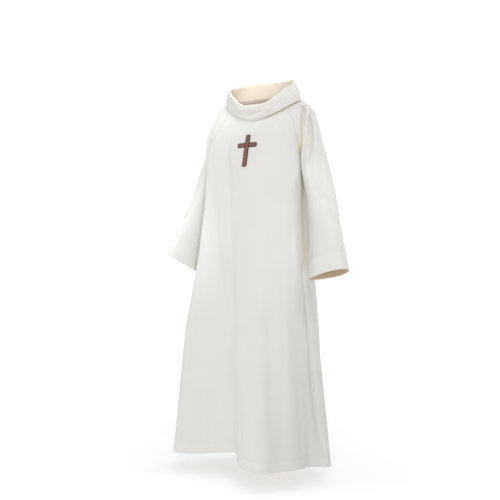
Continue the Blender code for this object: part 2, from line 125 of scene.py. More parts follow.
SLEEVE_FOLDS = (
    # name, top share, end share, depth, spread, first level, last level
    ("front armhole crease", 0.27, 0.10, -0.008, 0.050, 0.15, 1.35),
    ("front pleat", 0.35, 0.18, 0.003, 0.050, 0.15, 1.40),
    ("second front crease", 0.43, 0.26, -0.009, 0.050, 0.15, 1.50),
    ("front crest", 0.44, 0.36, 0.004, 0.070, 0.90, 2.30),
    ("back crest", 0.60, 0.70, 0.005, 0.070, 0.30, 2.20),
    ("back armhole crease", 0.72, 0.88, -0.009, 0.060, 0.30, 1.60),
    ("inner back dip", 0.80, 0.80, -0.006, 0.060, 1.10, 2.30),
)

# Collar, by degrees round from the front towards the left
COLLAR = {
    "angle":     (-180, -140, -90, -62, -36, -16, 0, 30, 60, 74, 88, 114, 150, 180),
    "rim_z":     (0.063, 0.059, 0.045, 0.036, 0.016, -0.005, -0.008, -0.001, 0.030, 0.045, 0.052, 0.067,
                  0.067, 0.063),
    "fall_out":  (0.012, 0.012, 0.009, 0.009, 0.011, 0.015, 0.018, 0.019, 0.018, 0.0165, 0.015, 0.014,
                  0.012, 0.012),
    "fall_drop": (0.004, 0.003, 0.000, 0.002, 0.006, 0.010, 0.012, 0.010, 0.005, 0.0025, 0.000, 0.001,
                  0.004, 0.004),
    "tuck":      (0.003, 0.0035, 0.0005, 0.003, 0.005, 0.008, 0.0105, 0.0120, 0.0070, 0.004, 0.001, 0.004,
                  0.003, 0.003),
}
RIM_HALF_WIDTH, RIM_REACH, RIM_MIDDLE_Y = 0.097, 0.080, -0.015
RIM_ROUND = 0.0034
STANDS_OFF = (52, 34, 0.0045, 0.0035)    # where the free edge stands off: angle, spread, how far out and up
COLLAR_FULLNESS = 0.0035                 # how far the falling layer swells
COLLAR_FROM = 0.03                       # the cloth starts this share of the way up the stand

CROSS_CENTRE_X, CROSS_CENTRE_Z = 0.001, -0.123
CROSS_ARM, CROSS_TOP, CROSS_FOOT = 0.031, 0.030, 0.062      # from the centre
CROSS_BAR = 0.0136
CROSS_CORNER = 0.0046
CROSS_TILT = math.radians(4.5)
CROSS_HEIGHT = 0.0016
CROSS_OVER = 0.0008       # the upright lies this much over the other bar
CROSS_GAP = 0.0002        # from the cloth
CROSS_STEP = 0.0016       # length of its faces along a bar
CROSS_PROFILE = (
    # share of the way out to the edge, share of the height
    (0.0, 0.80), (0.25, 0.79), (0.50, 0.74), (0.66, 0.66), (0.74, 0.62), (0.79, 0.86), (0.86, 1.0),
    (0.93, 0.86), (0.985, 0.46), (1.0, 0.16), (1.0, 0.0),
)

# Making of the cloth pieces
HEM_TURN = 0.028          # turned up inside at the hem
CUFF_TURN = 0.052         # turned up inside at each cuff
EDGE_TURN = 0.008         # turned under at the free edge of the collar
TURN_ROUND = 0.0008       # radius of those turns, and of the cloth where it turns into a seam
ALLOWANCE, COLLAR_ALLOWANCE = 0.006, 0.0010     # cloth turned in along each seam
SEAM_DIP = (0.0005, 0.0040)           # how far the cloth is drawn in along a seam, and how wide
COLLAR_SEAM_DIP = (0.0026, 0.0050)
SEWING_DIP = (0.00045, 0.0017)        # the same along the sewing of a turned-up edge
DRAW_BACK = 0.00020       # each piece ends this far from the seam line
FLAP_SHARES = (0.3, 0.65, 1.0)        # columns of the cloth turned in at a seam, as shares of its width
TUCK = 0.0001             # step of those columns where they are shut in a turned-up edge
SEAM_OPENS = (0.004, 0.01)            # how far above that edge they come free, and over what length
DOUBLE_SHOWS = 0.002      # over this length the double cloth begins to show
TURNED_UP_SHADE = 1.5         # mark of the turned-up cloth, which gets painted warm shade; other cloth has 0 to 1 for its painted warm light and shade
STITCH_PITCH, STITCH_LENGTH, THREAD_RADIUS = 0.0030, 0.0022, 0.00022
STITCH_UNEVENNESS = 0.12
SEWN_BELOW, ON_CLOTH = 0.0015, 0.00008          # the stitches' place below the turned-up cloth's end

# Grids: rows above and below the underarm, metres a level, and columns
BODY_ROWS, BODY_COLUMNS = (54, 124, 0.35), 321
SLEEVE_ROWS, SLEEVE_COLUMNS = (54, 84, 0.32), 241
COLLAR_COLUMNS = 240
NECK_POINTS = 81          # on each piece that meets the neck seam
STAND_ROWS, RIM_ROWS = 17, 10
FALL_ROWS, EDGE_ROWS, EDGE_FROM = 24, 9, 0.86   # the falling layer, and its closer rows at the edge
NEAR_SEAM = (0.00145, 0.0022, 0.0032, 0.0048, 0.0075)          # closer columns, metres from a seam
CLOSE_TO_EDGE = (0.0, 0.0012, 0.003, 0.006)                    # closer rows, metres from the edge
CLOSE_TO_SEWING = (-0.004, -0.0025, -0.0015, -0.0007, 0.0, 0.0007, 0.0015, 0.0025, 0.004)
LEAST_ROW = 0.0012        # no other row lies nearer than this to those

# How creases end, and where the cloth gets painted warm shade and light
PATH_POINTS = 24
CREASE_ENDS = (0.10, 0.28)            # shares of a crease's length in which it fades in and out
COLLAR_CREASE_ENDS = (0.22, 0.26)
COLLAR_LINE_ENDS = (0.03, 0.05)
FLAT_AT_SEAM = 0.009      # creases fade out this near a seam
FLAT_ROUND_CROSS = (0.044, 0.03)      # none this near the cross, and over what width they come in
FRONT_ONLY = -0.05        # the cross keeps only cloth before this y flat
SHADE_AFTER = 0.6          # share of a fold's length in which its painted warm shade comes in
SHADE_WIDTH = 0.9          # the painted warm shade's width beside the fold's
# Painted warm shade beside the armhole seams: its strength and its width
ARMHOLE_SHADE, ARMHOLE_SHADE_WIDTH = 0.9, 0.010
ARMHOLE_SHADE_FROM = (0.5, 0.4)        # level, and over how many levels
ARMHOLE_SHADE_END = (0.5, 0.2)         # over how many levels it ends, and the share of that still to come
BODY_SHADE_TO = 2.3                    # the level where it ends on the body
COLLAR_SHADES = (0.012, 0.045)        # x where the cloth under the collar gets painted warm shade, and over what width
SHADE_ENDS = (0.03, 0.11)             # level where that fades, and over how many levels
STAND_PAINTED_ROWS = 14                  # rows of the stand with painted warm light all over

# Creases: places they pass through, how far they stand out (+) or in (-), half their width, how
# strongly the cloth lifts beside them and, for a few, how much painted warm shade lies along them
# (0 to 1).  Body places are (angle, level) and sleeve places are (share, level).
FRONT_CREASES = (
    # the skirt
    (((-40, 0.37), (-22, 0.77), (-13, 1.32), (-7, 1.9), (-5, 2.6), (-2.5, 3.0), (-4.5, 3.4), (-2, 3.9)),
     -0.0175, 0.025, 0.0),
    (((12, 1.7), (18, 2.12), (19, 2.53), (21, 3.0), (23, 3.42), (25, 3.9)), 0.0030, 0.016, 0.0),
    (((28, 1.9), (33, 2.42), (34, 3.0), (35, 3.42), (40, 3.9)), -0.0036, 0.012, 0.3),
    (((48, 1.6), (52, 2.13), (51, 2.53), (50, 3.0), (52, 3.8)), 0.0026, 0.014, 0.0),
    (((81.3, 2.7), (81.5, 3.2), (84, 3.5), (87.5, 3.75), (89.5, 3.98)), 0.0055, 0.0050, 0.2),
    (((62, 1.8), (66, 2.3), (70, 2.8), (72, 3.3), (76, 3.98)), 0.0055, 0.020, 0.0),
    (((76, 2.1), (77.5, 2.5), (78.7, 2.8), (79.3, 3.2), (82, 3.5), (85, 3.8), (86.5, 3.98)),
     -0.0120, 0.0120, 0.0),
    (((-70, 1.1), (-55, 1.5), (-45, 2.0), (-42, 2.6)), -0.0024, 0.014, 0.2),
    (((70, 1.1), (60, 1.5), (56, 2.1)), -0.0024, 0.013, 0.2),
    (((-30, 3.45), (-27, 3.98)), -0.0026, 0.010, 0.3),
    (((9, 3.35), (12, 3.98)), -0.0028, 0.010, 0.3),
    (((60, 3.3), (63, 3.98)), -0.0028, 0.009, 0.3),
    (((-66, 3.1), (-69, 3.98)), -0.0030, 0.012, 0.3),
    # along the raglan seams
    (((38, 0.18), (47, 0.48), (60, 0.85)), -0.0018, 0.007, 0.3),
    (((-50, 0.12), (-56, 0.45), (-66, 0.8), (-78, 1.05)), -0.0022, 0.007, 0.4),
    (((-42, 0.10), (-48, 0.4), (-57, 0.75), (-68, 1.05)), 0.0014, 0.007, 0.0),
    (((-34, 0.10), (-40, 0.4), (-50, 0.7)), -0.0012, 0.007, 0.2),
)
BACK_CREASES = (
    (((150, 0.3), (158, 0.9), (160, 1.6), (156, 2.4)), -0.0051, 0.014, 0.25),
    (((205, 0.3), (200, 1.0), (203, 1.8), (207, 2.6)), -0.0048, 0.016, 0.25),
    (((118, 1.1), (128, 1.6), (134, 2.3), (133, 3.0)), -0.0048, 0.012, 0.25),
    (((240, 1.1), (232, 1.7), (228, 2.4)), -0.0045, 0.013, 0.25),
    (((176, 1.2), (179, 2.0), (172, 2.9), (176, 3.9)), -0.0058, 0.016, 0.25),
    (((166, 2.2), (163, 3.0), (165, 3.8)), 0.0042, 0.015, 0.0),
    (((110, 2.0), (112, 2.8), (109, 3.7)), -0.0042, 0.011, 0.3),
    (((250, 2.3), (252, 3.0), (254, 3.9)), -0.0045, 0.012, 0.3),
    (((140, 0.22), (132, 0.6), (122, 0.95)), -0.0032, 0.007, 0.4),
    (((222, 0.25), (231, 0.6), (241, 0.95)), -0.0029, 0.008, 0.4),
    (((146, 3.4), (145, 3.98)), -0.0042, 0.010, 0.3),
    (((192, 3.5), (194, 3.98)), -0.0035, 0.009, 0.3),
    (((217, 3.3), (215, 3.98)), -0.0042, 0.011, 0.3),
)
LEFT_CREASES = (
    (((0.34, 0.12), (0.285, 0.30), (0.20, 0.50), (0.15, 0.60), (0.10, 0.70), (0.05, 0.80), (0.02, 1.00)),
     -0.0130, 0.0058, 0.35, 1.0),
    (((0.38, 0.16), (0.33, 0.40), (0.24, 0.60), (0.20, 0.70), (0.155, 0.80), (0.13, 0.95)),
     0.0050, 0.0060, 0.0),
    (((0.585, 0.12), (0.555, 0.22), (0.50, 0.36), (0.44, 0.46), (0.385, 0.60), (0.35, 0.72), (0.31, 0.82),
      (0.27, 0.92), (0.20, 1.15)), -0.0155, 0.0130, 0.20, 0.25),
    (((0.50, 0.30), (0.56, 0.50), (0.60, 0.66)), -0.0015, 0.005, 0.3),
    (((0.46, 0.45), (0.52, 0.62), (0.55, 0.80)), -0.0016, 0.005, 0.3),
    (((0.50, 0.90), (0.42, 1.10), (0.36, 1.30)), -0.0018, 0.007, 0.3),
    (((0.26, 1.20), (0.38, 1.36), (0.52, 1.42)), -0.0022, 0.009, 0.3),
    (((0.34, 1.48), (0.44, 1.62), (0.52, 1.80)), -0.0018, 0.010, 0.2),
    (((0.70, 0.30), (0.80, 0.60), (0.90, 0.85)), -0.0036, 0.007, 0.4),
    (((0.62, 0.45), (0.70, 0.80), (0.80, 1.10)), -0.0028, 0.008, 0.4),
    (((0.78, 1.25), (0.68, 1.40), (0.58, 1.48)), -0.0026, 0.009, 0.3),
    (((0.86, 1.50), (0.74, 1.66), (0.66, 1.85)), -0.0020, 0.010, 0.2),
)
RIGHT_CREASES = (
    (((0.34, 0.22), (0.22, 0.46), (0.11, 0.70), (0.08, 0.98)), -0.0036, 0.0065, 0.4),
    (((0.42, 0.30), (0.33, 0.58), (0.24, 0.84), (0.16, 1.08)), -0.0026, 0.0065, 0.3),
    (((0.50, 0.40), (0.44, 0.66), (0.40, 0.90)), -0.0014, 0.006, 0.3),
    (((0.20, 1.22), (0.34, 1.33), (0.48, 1.36)), -0.0022, 0.009, 0.3),
    (((0.30, 1.50), (0.40, 1.66), (0.46, 1.86)), -0.0018, 0.010, 0.2),
    (((0.68, 0.28), (0.79, 0.58), (0.90, 0.86)), -0.0034, 0.007, 0.4),
    (((0.60, 0.42), (0.69, 0.82), (0.78, 1.14)), -0.0026, 0.008, 0.4),
    (((0.82, 1.20), (0.70, 1.36), (0.58, 1.44)), -0.0026, 0.009, 0.3),
    (((0.84, 1.56), (0.74, 1.70), (0.64, 1.90)), -0.0020, 0.010, 0.2),
)
# Creases of the collar: (share along the piece, share down its falling layer)
FRONT_COLLAR_CREASES = (
    (((0.20, 0.90), (0.32, 0.80), (0.44, 0.62), (0.51, 0.60), (0.62, 0.50)), -0.0065, 0.0055, 0.50),
    (((0.26, 0.42), (0.36, 0.52), (0.42, 0.50), (0.48, 0.38), (0.58, 0.32)), -0.0042, 0.0045, 0.40),
    (((0.10, 0.25), (0.12, 0.55), (0.15, 0.92)), -0.0042, 0.0045, 0.40),
    (((0.30, 0.05), (0.28, 0.45), (0.24, 0.80)), -0.0038, 0.0045, 0.40),
    (((0.03, 0.20), (0.06, 0.50), (0.07, 0.85)), -0.0030, 0.0040, 0.40),
    (((0.66, 0.62), (0.76, 0.52), (0.84, 0.44)), -0.0024, 0.0070, 0.30),
)
COLLAR_LINES = (
    # one sharper line at its left end
    (((0.85, 0.00), (0.87, 0.10), (0.91, 0.40), (0.95, 1.00)), -0.0034, 0.0022, 0.45, 0.3),
)
BACK_COLLAR_CREASES = (
    (((0.10, 0.48), (0.24, 0.56), (0.38, 0.60)), -0.0016, 0.0060, 0.3),
    (((0.58, 0.40), (0.72, 0.50), (0.88, 0.55)), -0.0018, 0.0060, 0.3),
    (((0.46, 0.80), (0.58, 0.84), (0.70, 0.80)), -0.0012, 0.0050, 0.3),
)

# ---------------------------------------------------------------- surfaces


def read(table, column, at):
    """A column of a section table at any levels, along a smooth curve through its rows."""
    knots = np.array(table["level" if "level" in table else "angle"], float)
    values = np.array(table[column], float)
    last = len(knots) - 1
    before = np.maximum(np.arange(last + 1) - 1, 0)
    after = np.minimum(np.arange(last + 1) + 1, last)
    slopes = (values[after] - values[before]) / (knots[after] - knots[before])
    at = np.asarray(at, float)
    i = np.clip(np.searchsorted(knots, at, side="right") - 1, 0, last - 1)
    span = knots[i + 1] - knots[i]
    t = np.clip((at - knots[i]) / span, 0, 1)
    return (values[i] * (2 * t ** 3 - 3 * t ** 2 + 1) + values[i + 1] * (3 * t ** 2 - 2 * t ** 3)
            + slopes[i] * span * (t ** 3 - 2 * t ** 2 + t)
            + slopes[i + 1] * span * (t ** 3 - t ** 2))


def smooth_step(t):
    t = np.clip(t, 0, 1)
    return t * t * (3 - 2 * t)


def turn(angle, about):
    return (angle - about + 180) % 360 - 180


def bump(distance, spread):
    return np.exp(-(distance / spread) ** 2)


def unit(vectors):
    return vectors / np.maximum(np.linalg.norm(vectors, axis=-1, keepdims=True), 1e-12)


def body_relief(angle, level):
    relief = np.zeros(np.broadcast(angle, level).shape)
    for _, top, end, at_top, at_hem, right, left, start, growth in BODY_FOLDS:
        grown = np.clip((level - start) / (HEM - start), 0, None)
        away = turn(angle, top + (end - top) * smooth_step(grown))
        depth = (at_top + (at_hem - at_top) * grown ** growth) * smooth_step((level - start) / FOLD_ONSET)
        relief = relief + depth * bump(away, np.where(away > 0, left, right))
    for _, at, depth, spread, first, last in ARM_PRESSES:
        acts = np.sin(math.pi * np.clip((level - first) / (last - first), 0, 1))
        relief = relief + depth * acts * bump(turn(angle, at), spread)
    return relief


def body_place(angle, level):
    """Points of the body's cloth: angle in degrees round from the front, towards the left."""
    angle, level = np.broadcast_arrays(np.asarray(angle, float), np.asarray(level, float))
    across, ahead = np.sin(np.radians(angle)), np.cos(np.radians(angle))
    here = {name: read(BODY, name, level) for name in BODY if name != "level"}
    reach = np.where(ahead > 0, here["fore"], here["aft"])
    end_z = np.where(ahead > 0, here["front_z"], here["back_z"])
    x = here["middle_x"] + here["half_width"] * across
    y = here["middle_y"] - reach * ahead
    z = here["side_z"] + (end_z - here["side_z"]) * ahead ** 2 + here["lean"] * x
    outward = unit(np.stack([across / here["half_width"], -ahead / reach, 0 * x], -1))
    aside = turn(angle, HEM_LIFT_AT)
    spread = np.where(aside > 0, HEM_LIFT_SPREAD[1], HEM_LIFT_SPREAD[0])
    lift = HEM_LIFT * bump(aside, spread)
    for rise, place, spread in HEM_RISES:
        lift = lift + rise * bump(turn(angle, place), spread)
    z = z + (level / HEM) ** 2 * lift
    return np.stack([x, y, z], -1) + outward * body_relief(angle, level)[..., None]


def seam_angle(side, part, level):
    """Where the seam on a side runs: the raglan seams above the underarm, the side seam below."""
    level = np.asarray(level, float)
    opening = np.degrees(np.arcsin(np.clip(read(BODY, "armhole", level), 0, 1)))
    raglan = side * (90 - opening if part == "front" else 90 + opening)
    return np.where(level >= UNDERARM, read(BODY, "left_seam" if side > 0 else "right_seam", level), raglan)


def sleeve_place(side, share, level):
    """Points of a sleeve: share 0 is its front seam, 0.5 its outer edge and 1 its back seam."""
    share, level = np.broadcast_arrays(np.asarray(share, float), np.asarray(level, float))
    table = LEFT_SLEEVE if side > 0 else RIGHT_SLEEVE
    here = {name: read(table, name, level) for name in table if name != "level"}
    outer = np.stack([here["out_x"], here["out_y"], here["out_z"]], -1)
    high = np.minimum(level, UNDERARM)
    inner = np.stack([here["in_x"], here["in_y"], here["in_z"]], -1) * (level >= UNDERARM)[..., None]
    front = body_place(seam_angle(side, "front", high), high) + inner
    back = body_place(seam_angle(side, "back", high), high) + inner
    closed = np.stack([here["skew"], -1 + 0 * share, here["rise"]], -1)
    turning = smooth_step((level - CLOSING[0]) / CLOSING[1])[..., None]
    forward = unit(unit(front - back) * (1 - turning) + unit(closed) * turning)
    middle = (front + back) / 2
    ahead = here["wrap"] * here["half_deep"] * np.sin(2 * math.pi * share)
    arch, loop = 4 * share * (1 - share), (1 - np.cos(2 * math.pi * share)) / 2
    out = arch + (loop - arch) * here["wrap"] * (1 - INNER_EDGE)
    return (middle + (front - back) / 2 * (1 - 2 * share)[..., None]
            + forward * ahead[..., None] + (outer - middle) * out[..., None])


def sleeve_relief(share, level):
    relief = np.zeros(np.broadcast(share, level).shape)
    for _, top, end, depth, spread, first, last in SLEEVE_FOLDS:
        along = np.clip((level - first) / (last - first), 0, 1)
        at = top + (end - top) * smooth_step(along)
        relief = relief + depth * np.sin(math.pi * along) * bump(share - at, spread)
    return relief * np.sin(math.pi * share)


def run_along(line):
    """How far along a line of points each of them lies."""
    return np.concatenate([[0], np.cumsum(np.linalg.norm(np.diff(line, axis=0), axis=1))])


def at_lengths(line, length, at):
    return np.stack([np.interp(at, length, line[:, k]) for k in range(3)], -1)


def neck_ring(part, count):
    """Points along the neck seam under one collar piece, evenly spaced from end to end."""
    dense = np.linspace(0, 1, NECK_POINTS)
    first, last = (-1, 1) if part == "front" else (1, -1)
    near, far = (0.5, 0.0) if part == "front" else (0.5, 1.0)
    opening = {side: seam_angle(side, part, NECK) for side in (-1, 1)}
    a, b = (opening[-1], opening[1]) if part == "front" else (opening[1], opening[-1] + 360)
    line = np.concatenate([sleeve_place(first, near + (far - near) * dense, NECK)[:-1],
                           body_place(a + (b - a) * dense, NECK),
                           sleeve_place(last, far + (near - far) * dense, NECK)[1:]])
    length = run_along(line)
    return at_lengths(line, length, np.linspace(0, length[-1], count))


# ---------------------------------------------------------------- cloth


def directions(places):
    """Directions straight out of a grid whose columns run to the right and whose rows run down."""
    def along(axis):
        steps = unit(np.diff(places, axis=axis))
        first, last = np.take(steps, [0], axis), np.take(steps, [-1], axis)
        return np.concatenate([first, steps], axis) + np.concatenate([steps, last], axis)
    return unit(np.cross(along(0), along(1)))


def from_edge(places, axis, end):
    """How far along the cloth each point lies from the grid's first (0) or last (-1) row or column."""
    steps = np.linalg.norm(np.diff(places, axis=axis), axis=-1)
    steps = steps if end == 0 else np.flip(steps, axis)
    total = np.concatenate([np.zeros_like(np.take(steps, [0], axis)), np.cumsum(steps, axis)], axis)
    return total if end == 0 else np.flip(total, axis)


def from_seams(places):
    return np.minimum(from_edge(places, 1, 0), from_edge(places, 1, -1))


def smooth_path(points, place):
    """A crease's places on the cloth, on a smooth line through the points given."""
    points = np.array(points, float)
    run = run_along(points / np.ptp(points, axis=0).clip(1e-6))
    table = {"level": run, "a": points[:, 0], "b": points[:, 1]}
    at = np.linspace(0, run[-1], PATH_POINTS)
    return place(read(table, "a", at), read(table, "b", at))


def creased(places, creases, place, ends=CREASE_ENDS):
    """The cloth moved in and out by its creases, and the painted warm shade (0 to 1) that each point gets
    along them.

    place gives the points of a crease's path, and ends the shares of its length that fade out.
    """
    relief, painted_shading = np.zeros(places.shape[:2]), np.zeros(places.shape[:2])
    cloth = places.reshape(-1, 3)
    for points, depth, width, lip, *shade_amount in creases:
        path = cloth[[((cloth - point) ** 2).sum(1).argmin() for point in smooth_path(points, place)]]
        path[1:-1] = (path[:-2] + 2 * path[1:-1] + path[2:]) / 4
        path = path[np.concatenate([[True], np.linalg.norm(np.diff(path, axis=0), axis=1) > 1e-5])]
        run = run_along(path)
        run /= run[-1]
        nearest, along = np.full(places.shape[:2], np.inf), np.zeros(places.shape[:2])
        for k, step in enumerate(np.diff(path, axis=0)):
            t = np.clip(((places - path[k]) @ step) / (step @ step), 0, 1)
            gap = np.linalg.norm(places - (path[k] + t[..., None] * step), axis=-1)
            closer = gap < nearest
            nearest = np.where(closer, gap, nearest)
            along = np.where(closer, run[k] + t * (run[k + 1] - run[k]), along)
        taper = smooth_step(along / ends[0]) * smooth_step((1 - along) / ends[1])
        relief += depth * taper * (bump(nearest, width) - lip * bump(nearest - 2 * width, width))
        # painted warm shade along the crease
        if shade_amount:
            crease_shade = shade_amount[0] * taper * smooth_step(along / SHADE_AFTER) * bump(nearest, SHADE_WIDTH * width)
            painted_shading = np.maximum(painted_shading, crease_shade)
    relief *= smooth_step(from_seams(places) / FLAT_AT_SEAM)
    from_cross = np.hypot(places[..., 0] - CROSS_CENTRE_X,
                          places[..., 2] - CROSS_CENTRE_Z + (CROSS_FOOT - CROSS_TOP) / 2)
    held = smooth_step((from_cross - FLAT_ROUND_CROSS[0]) / FLAT_ROUND_CROSS[1])
    relief *= np.where(places[..., 1] < FRONT_ONLY, held, 1)
    return places + directions(places) * relief[..., None], painted_shading


def spaced(places, painted_shading, columns):
    """The grid with its columns spaced evenly, apart from the closer ones beside its two seams."""
    near = np.array(NEAR_SEAM)
    rows, depths = [], []
    for row, depth in zip(places, painted_shading):
        length = run_along(row)
        at = np.concatenate([near, np.linspace(near[-1], length[-1] - near[-1], columns)[1:-1],
                             length[-1] - near[::-1]])
        rows.append(at_lengths(row, length, at))
        depths.append(np.interp(at, length, depth))
    return np.array(rows), np.array(depths), np.stack([places[:, 0], places[:, -1]], 1)


def turned(places, painted_shading, seams, height, allowance):
    """The cloth with its lower edge turned up inside and its two seam edges turned in.

    Gives the whole grid and, for each point, how far the cloth lies double and its painted shade: from its
    folds, rising over the turn, and the turned-up cloth's mark, which gets painted warm shade.
    """
    out = directions(places)
    rise = from_edge(places, 0, -1).mean(1)
    kept = int((rise <= height).sum())
    down = unit(places[-1] - places[-2])
    centre = places[-1] - out[-1] * TURN_ROUND
    arc = [centre + TURN_ROUND * (out[-1] * math.cos(a) + down * math.sin(a))
           for a in np.linspace(0, math.pi, 7)[1:-1]]
    back = [places[-1 - k] - out[-1 - k] * 2 * TURN_ROUND for k in range(kept)]
    grid = np.concatenate([places, np.array(arc), np.array(back)])
    unseen = len(arc) + kept
    double = np.concatenate([smooth_step((height + DOUBLE_SHOWS / 2 - rise) / DOUBLE_SHOWS),
                             np.ones(unseen)])
    free = np.concatenate([smooth_step((rise - height - SEAM_OPENS[0]) / SEAM_OPENS[1]),
                           np.zeros(unseen)])
    outward = np.concatenate([out, np.repeat(out[-1:], len(arc), 0), out[-1:-1 - kept:-1]])
    flaps = []
    for edge, inside in ((0, 1), (-1, -2)):
        away = unit(grid[:, inside] - grid[:, edge])
        seam = np.concatenate([seams[:, edge],
                               grid[len(places):, edge] - away[len(places):] * NEAR_SEAM[0]])
        bends = np.linspace(0, math.pi / 2, 4)[1:]
        flap = [seam + away * (DRAW_BACK + TURN_ROUND * (1 - math.sin(a)))
                - outward[:, edge] * TURN_ROUND * (1 - math.cos(a)) for a in bends]
        flap += [seam + away * DRAW_BACK - outward[:, edge] * (TURN_ROUND + allowance * t)
                 for t in FLAP_SHARES]
        flap = [full * free[:, None] + (grid[:, edge] - away * TUCK * (k + 1)) * (1 - free[:, None])
                for k, full in enumerate(flap)]
        flaps.append(np.stack(flap, 1))
    grid = np.concatenate([flaps[0][:, ::-1], grid, flaps[1]], 1)
    # painted shade rising over the turn, then the turned-up cloth's mark for its painted warm shade
    painted_shading = np.concatenate([painted_shading, np.linspace(0, TURNED_UP_SHADE, len(arc))[:, None] * np.ones_like(painted_shading[:1]),
                           np.full_like(painted_shading[:kept], TURNED_UP_SHADE)])
    painted_shading = np.pad(painted_shading, ((0, 0), (flaps[0].shape[1],) * 2), mode="edge")
    return grid, np.repeat(double[:, None], grid.shape[1], 1), painted_shading


def put(name, data):
    """A new object in the scene, at the origin."""
    thing = bpy.data.objects.new(name, data)
    bpy.context.scene.collection.objects.link(thing)
    return thing


def mark_points(mesh, label, values):
    mesh.attributes.new(label, "FLOAT", "POINT").data.foreach_set("value", values.astype(np.float32))


def lay_map(mesh, plan):
    """A map in metres, from a place on the cloth for each point of the mesh."""
    corners = np.empty(len(mesh.loops), np.int32)
    mesh.loops.foreach_get("vertex_index", corners)
    layer = mesh.uv_layers.new(name="cloth")
    layer.data.foreach_set("uv", plan[corners].ravel().astype(np.float32))


def cloth_wall(name, grid, double, painted_shading, finish, inside):
    """A closed wall of cloth on a grid, with a map in metres and its wrong side finished."""
    rows, columns = grid.shape[:2]
    count = rows * columns
    out = directions(grid)
    points = np.concatenate([grid + out * CLOTH / 2, grid - out * CLOTH / 2]).reshape(-1, 3)
    index = np.arange(count).reshape(rows, columns)
    face = np.stack([index[:-1, :-1], index[1:, :-1], index[1:, 1:], index[:-1, 1:]], -1).reshape(-1, 4)
    rim = np.concatenate([index[0, :], index[1:, -1], index[-1, -2::-1], index[-2:0:-1, 0]])
    edge = np.stack([rim, np.roll(rim, -1), np.roll(rim, -1) + count, rim + count], -1)
    faces = np.concatenate([face, face[:, ::-1] + count, edge])
    mesh = bpy.data.meshes.new(name)
    mesh.from_pydata(points.tolist(), [], faces.tolist())
    sides = np.repeat([0, 1, 0], [len(face), len(face), len(edge)])
    mesh.polygons.foreach_set("material_index", sides.astype(np.int32))
    across = from_edge(grid, 1, 0)
    across -= across.mean(1, keepdims=True)
    lengthwise = np.repeat(from_edge(grid, 0, 0).mean(1, keepdims=True), columns, 1)
    lay_map(mesh, np.tile(np.stack([across, lengthwise], -1).reshape(-1, 2), (2, 1)))
    # marks of the double cloth and of the painted warm light and shade
    for label, values in (("double", double), ("painted_shading", painted_shading)):
        mark_points(mesh, label, np.tile(values.ravel(), 2))
    mesh.materials.append(finish)
    mesh.materials.append(inside)
    mesh.shade_smooth()
    return put(name, mesh)


def rows_of_levels(last, upper, lower, per_level, turn_height):
    """Levels down a piece, closer together at its edge and where its turned-up edge is sewn."""
    close = np.array([*CLOSE_TO_EDGE, *(turn_height + d for d in CLOSE_TO_SEWING)])
    plain = np.concatenate([np.linspace(NECK, UNDERARM, upper + 1),
                            np.linspace(UNDERARM, last, lower + 1)[1:]])
    special = last - close / per_level
    plain = [level for level in plain if np.abs(special - level).min() > LEAST_ROW / per_level]
    return np.unique(np.round(np.concatenate([plain, special]), 7))[:, None]


def sewn_dips(places, height, dip, width):
    """The cloth drawn in a little along its seams and where its turned-up edge is sewn."""
    relief = np.zeros(places.shape[:2])
    for end in (0, -1):
        relief -= dip * bump(from_edge(places, 1, end), width)
    relief -= SEWING_DIP[0] * bump(from_edge(places, 0, -1) - height, SEWING_DIP[1])
    return places + directions(places) * relief[..., None]


def painted_gap_shade(places, levels, last):
    """Painted warm shade (0 to 1) beside the armhole seams and, at the left, under the collar."""
    armhole = (ARMHOLE_SHADE * bump(from_seams(places), ARMHOLE_SHADE_WIDTH)
               * smooth_step((levels - ARMHOLE_SHADE_FROM[0]) / ARMHOLE_SHADE_FROM[1])
               * smooth_step((last - levels) / ARMHOLE_SHADE_END[0] + ARMHOLE_SHADE_END[1]))
    at_left = smooth_step((places[..., 0] - COLLAR_SHADES[0]) / COLLAR_SHADES[1])
    return np.maximum(armhole, at_left * (1 - smooth_step((levels - SHADE_ENDS[0]) / SHADE_ENDS[1])))


def body_cloth(part):
    levels = rows_of_levels(HEM, *BODY_ROWS, HEM_TURN)
    right, left = seam_angle(-1, part, levels), seam_angle(1, part, levels)
    if part == "back":
        right, left = left, right + 360
    places = body_place(right + (left - right) * np.linspace(0, 1, BODY_COLUMNS), levels)
    places, painted_shading = creased(places, FRONT_CREASES if part == "front" else BACK_CREASES, body_place)
    return places, np.maximum(painted_shading, painted_gap_shade(places, levels, BODY_SHADE_TO))


def sleeve_cloth(side):
    levels = rows_of_levels(CUFF, *SLEEVE_ROWS, CUFF_TURN)
    shares = np.linspace(0, 1, SLEEVE_COLUMNS)
    plain = sleeve_place(side, shares, levels)
    places = plain + side * directions(plain) * sleeve_relief(shares, levels)[..., None]
    places[:, 0], places[:, -1], places[0] = plain[:, 0], plain[:, -1], plain[0]
    if side < 0:
        places = places[:, ::-1]
    places, painted_shading = creased(places, LEFT_CREASES if side > 0 else RIGHT_CREASES,
                           lambda share, level: sleeve_place(side, share, level))
    return places, np.maximum(painted_shading, painted_gap_shade(places, levels, CUFF))


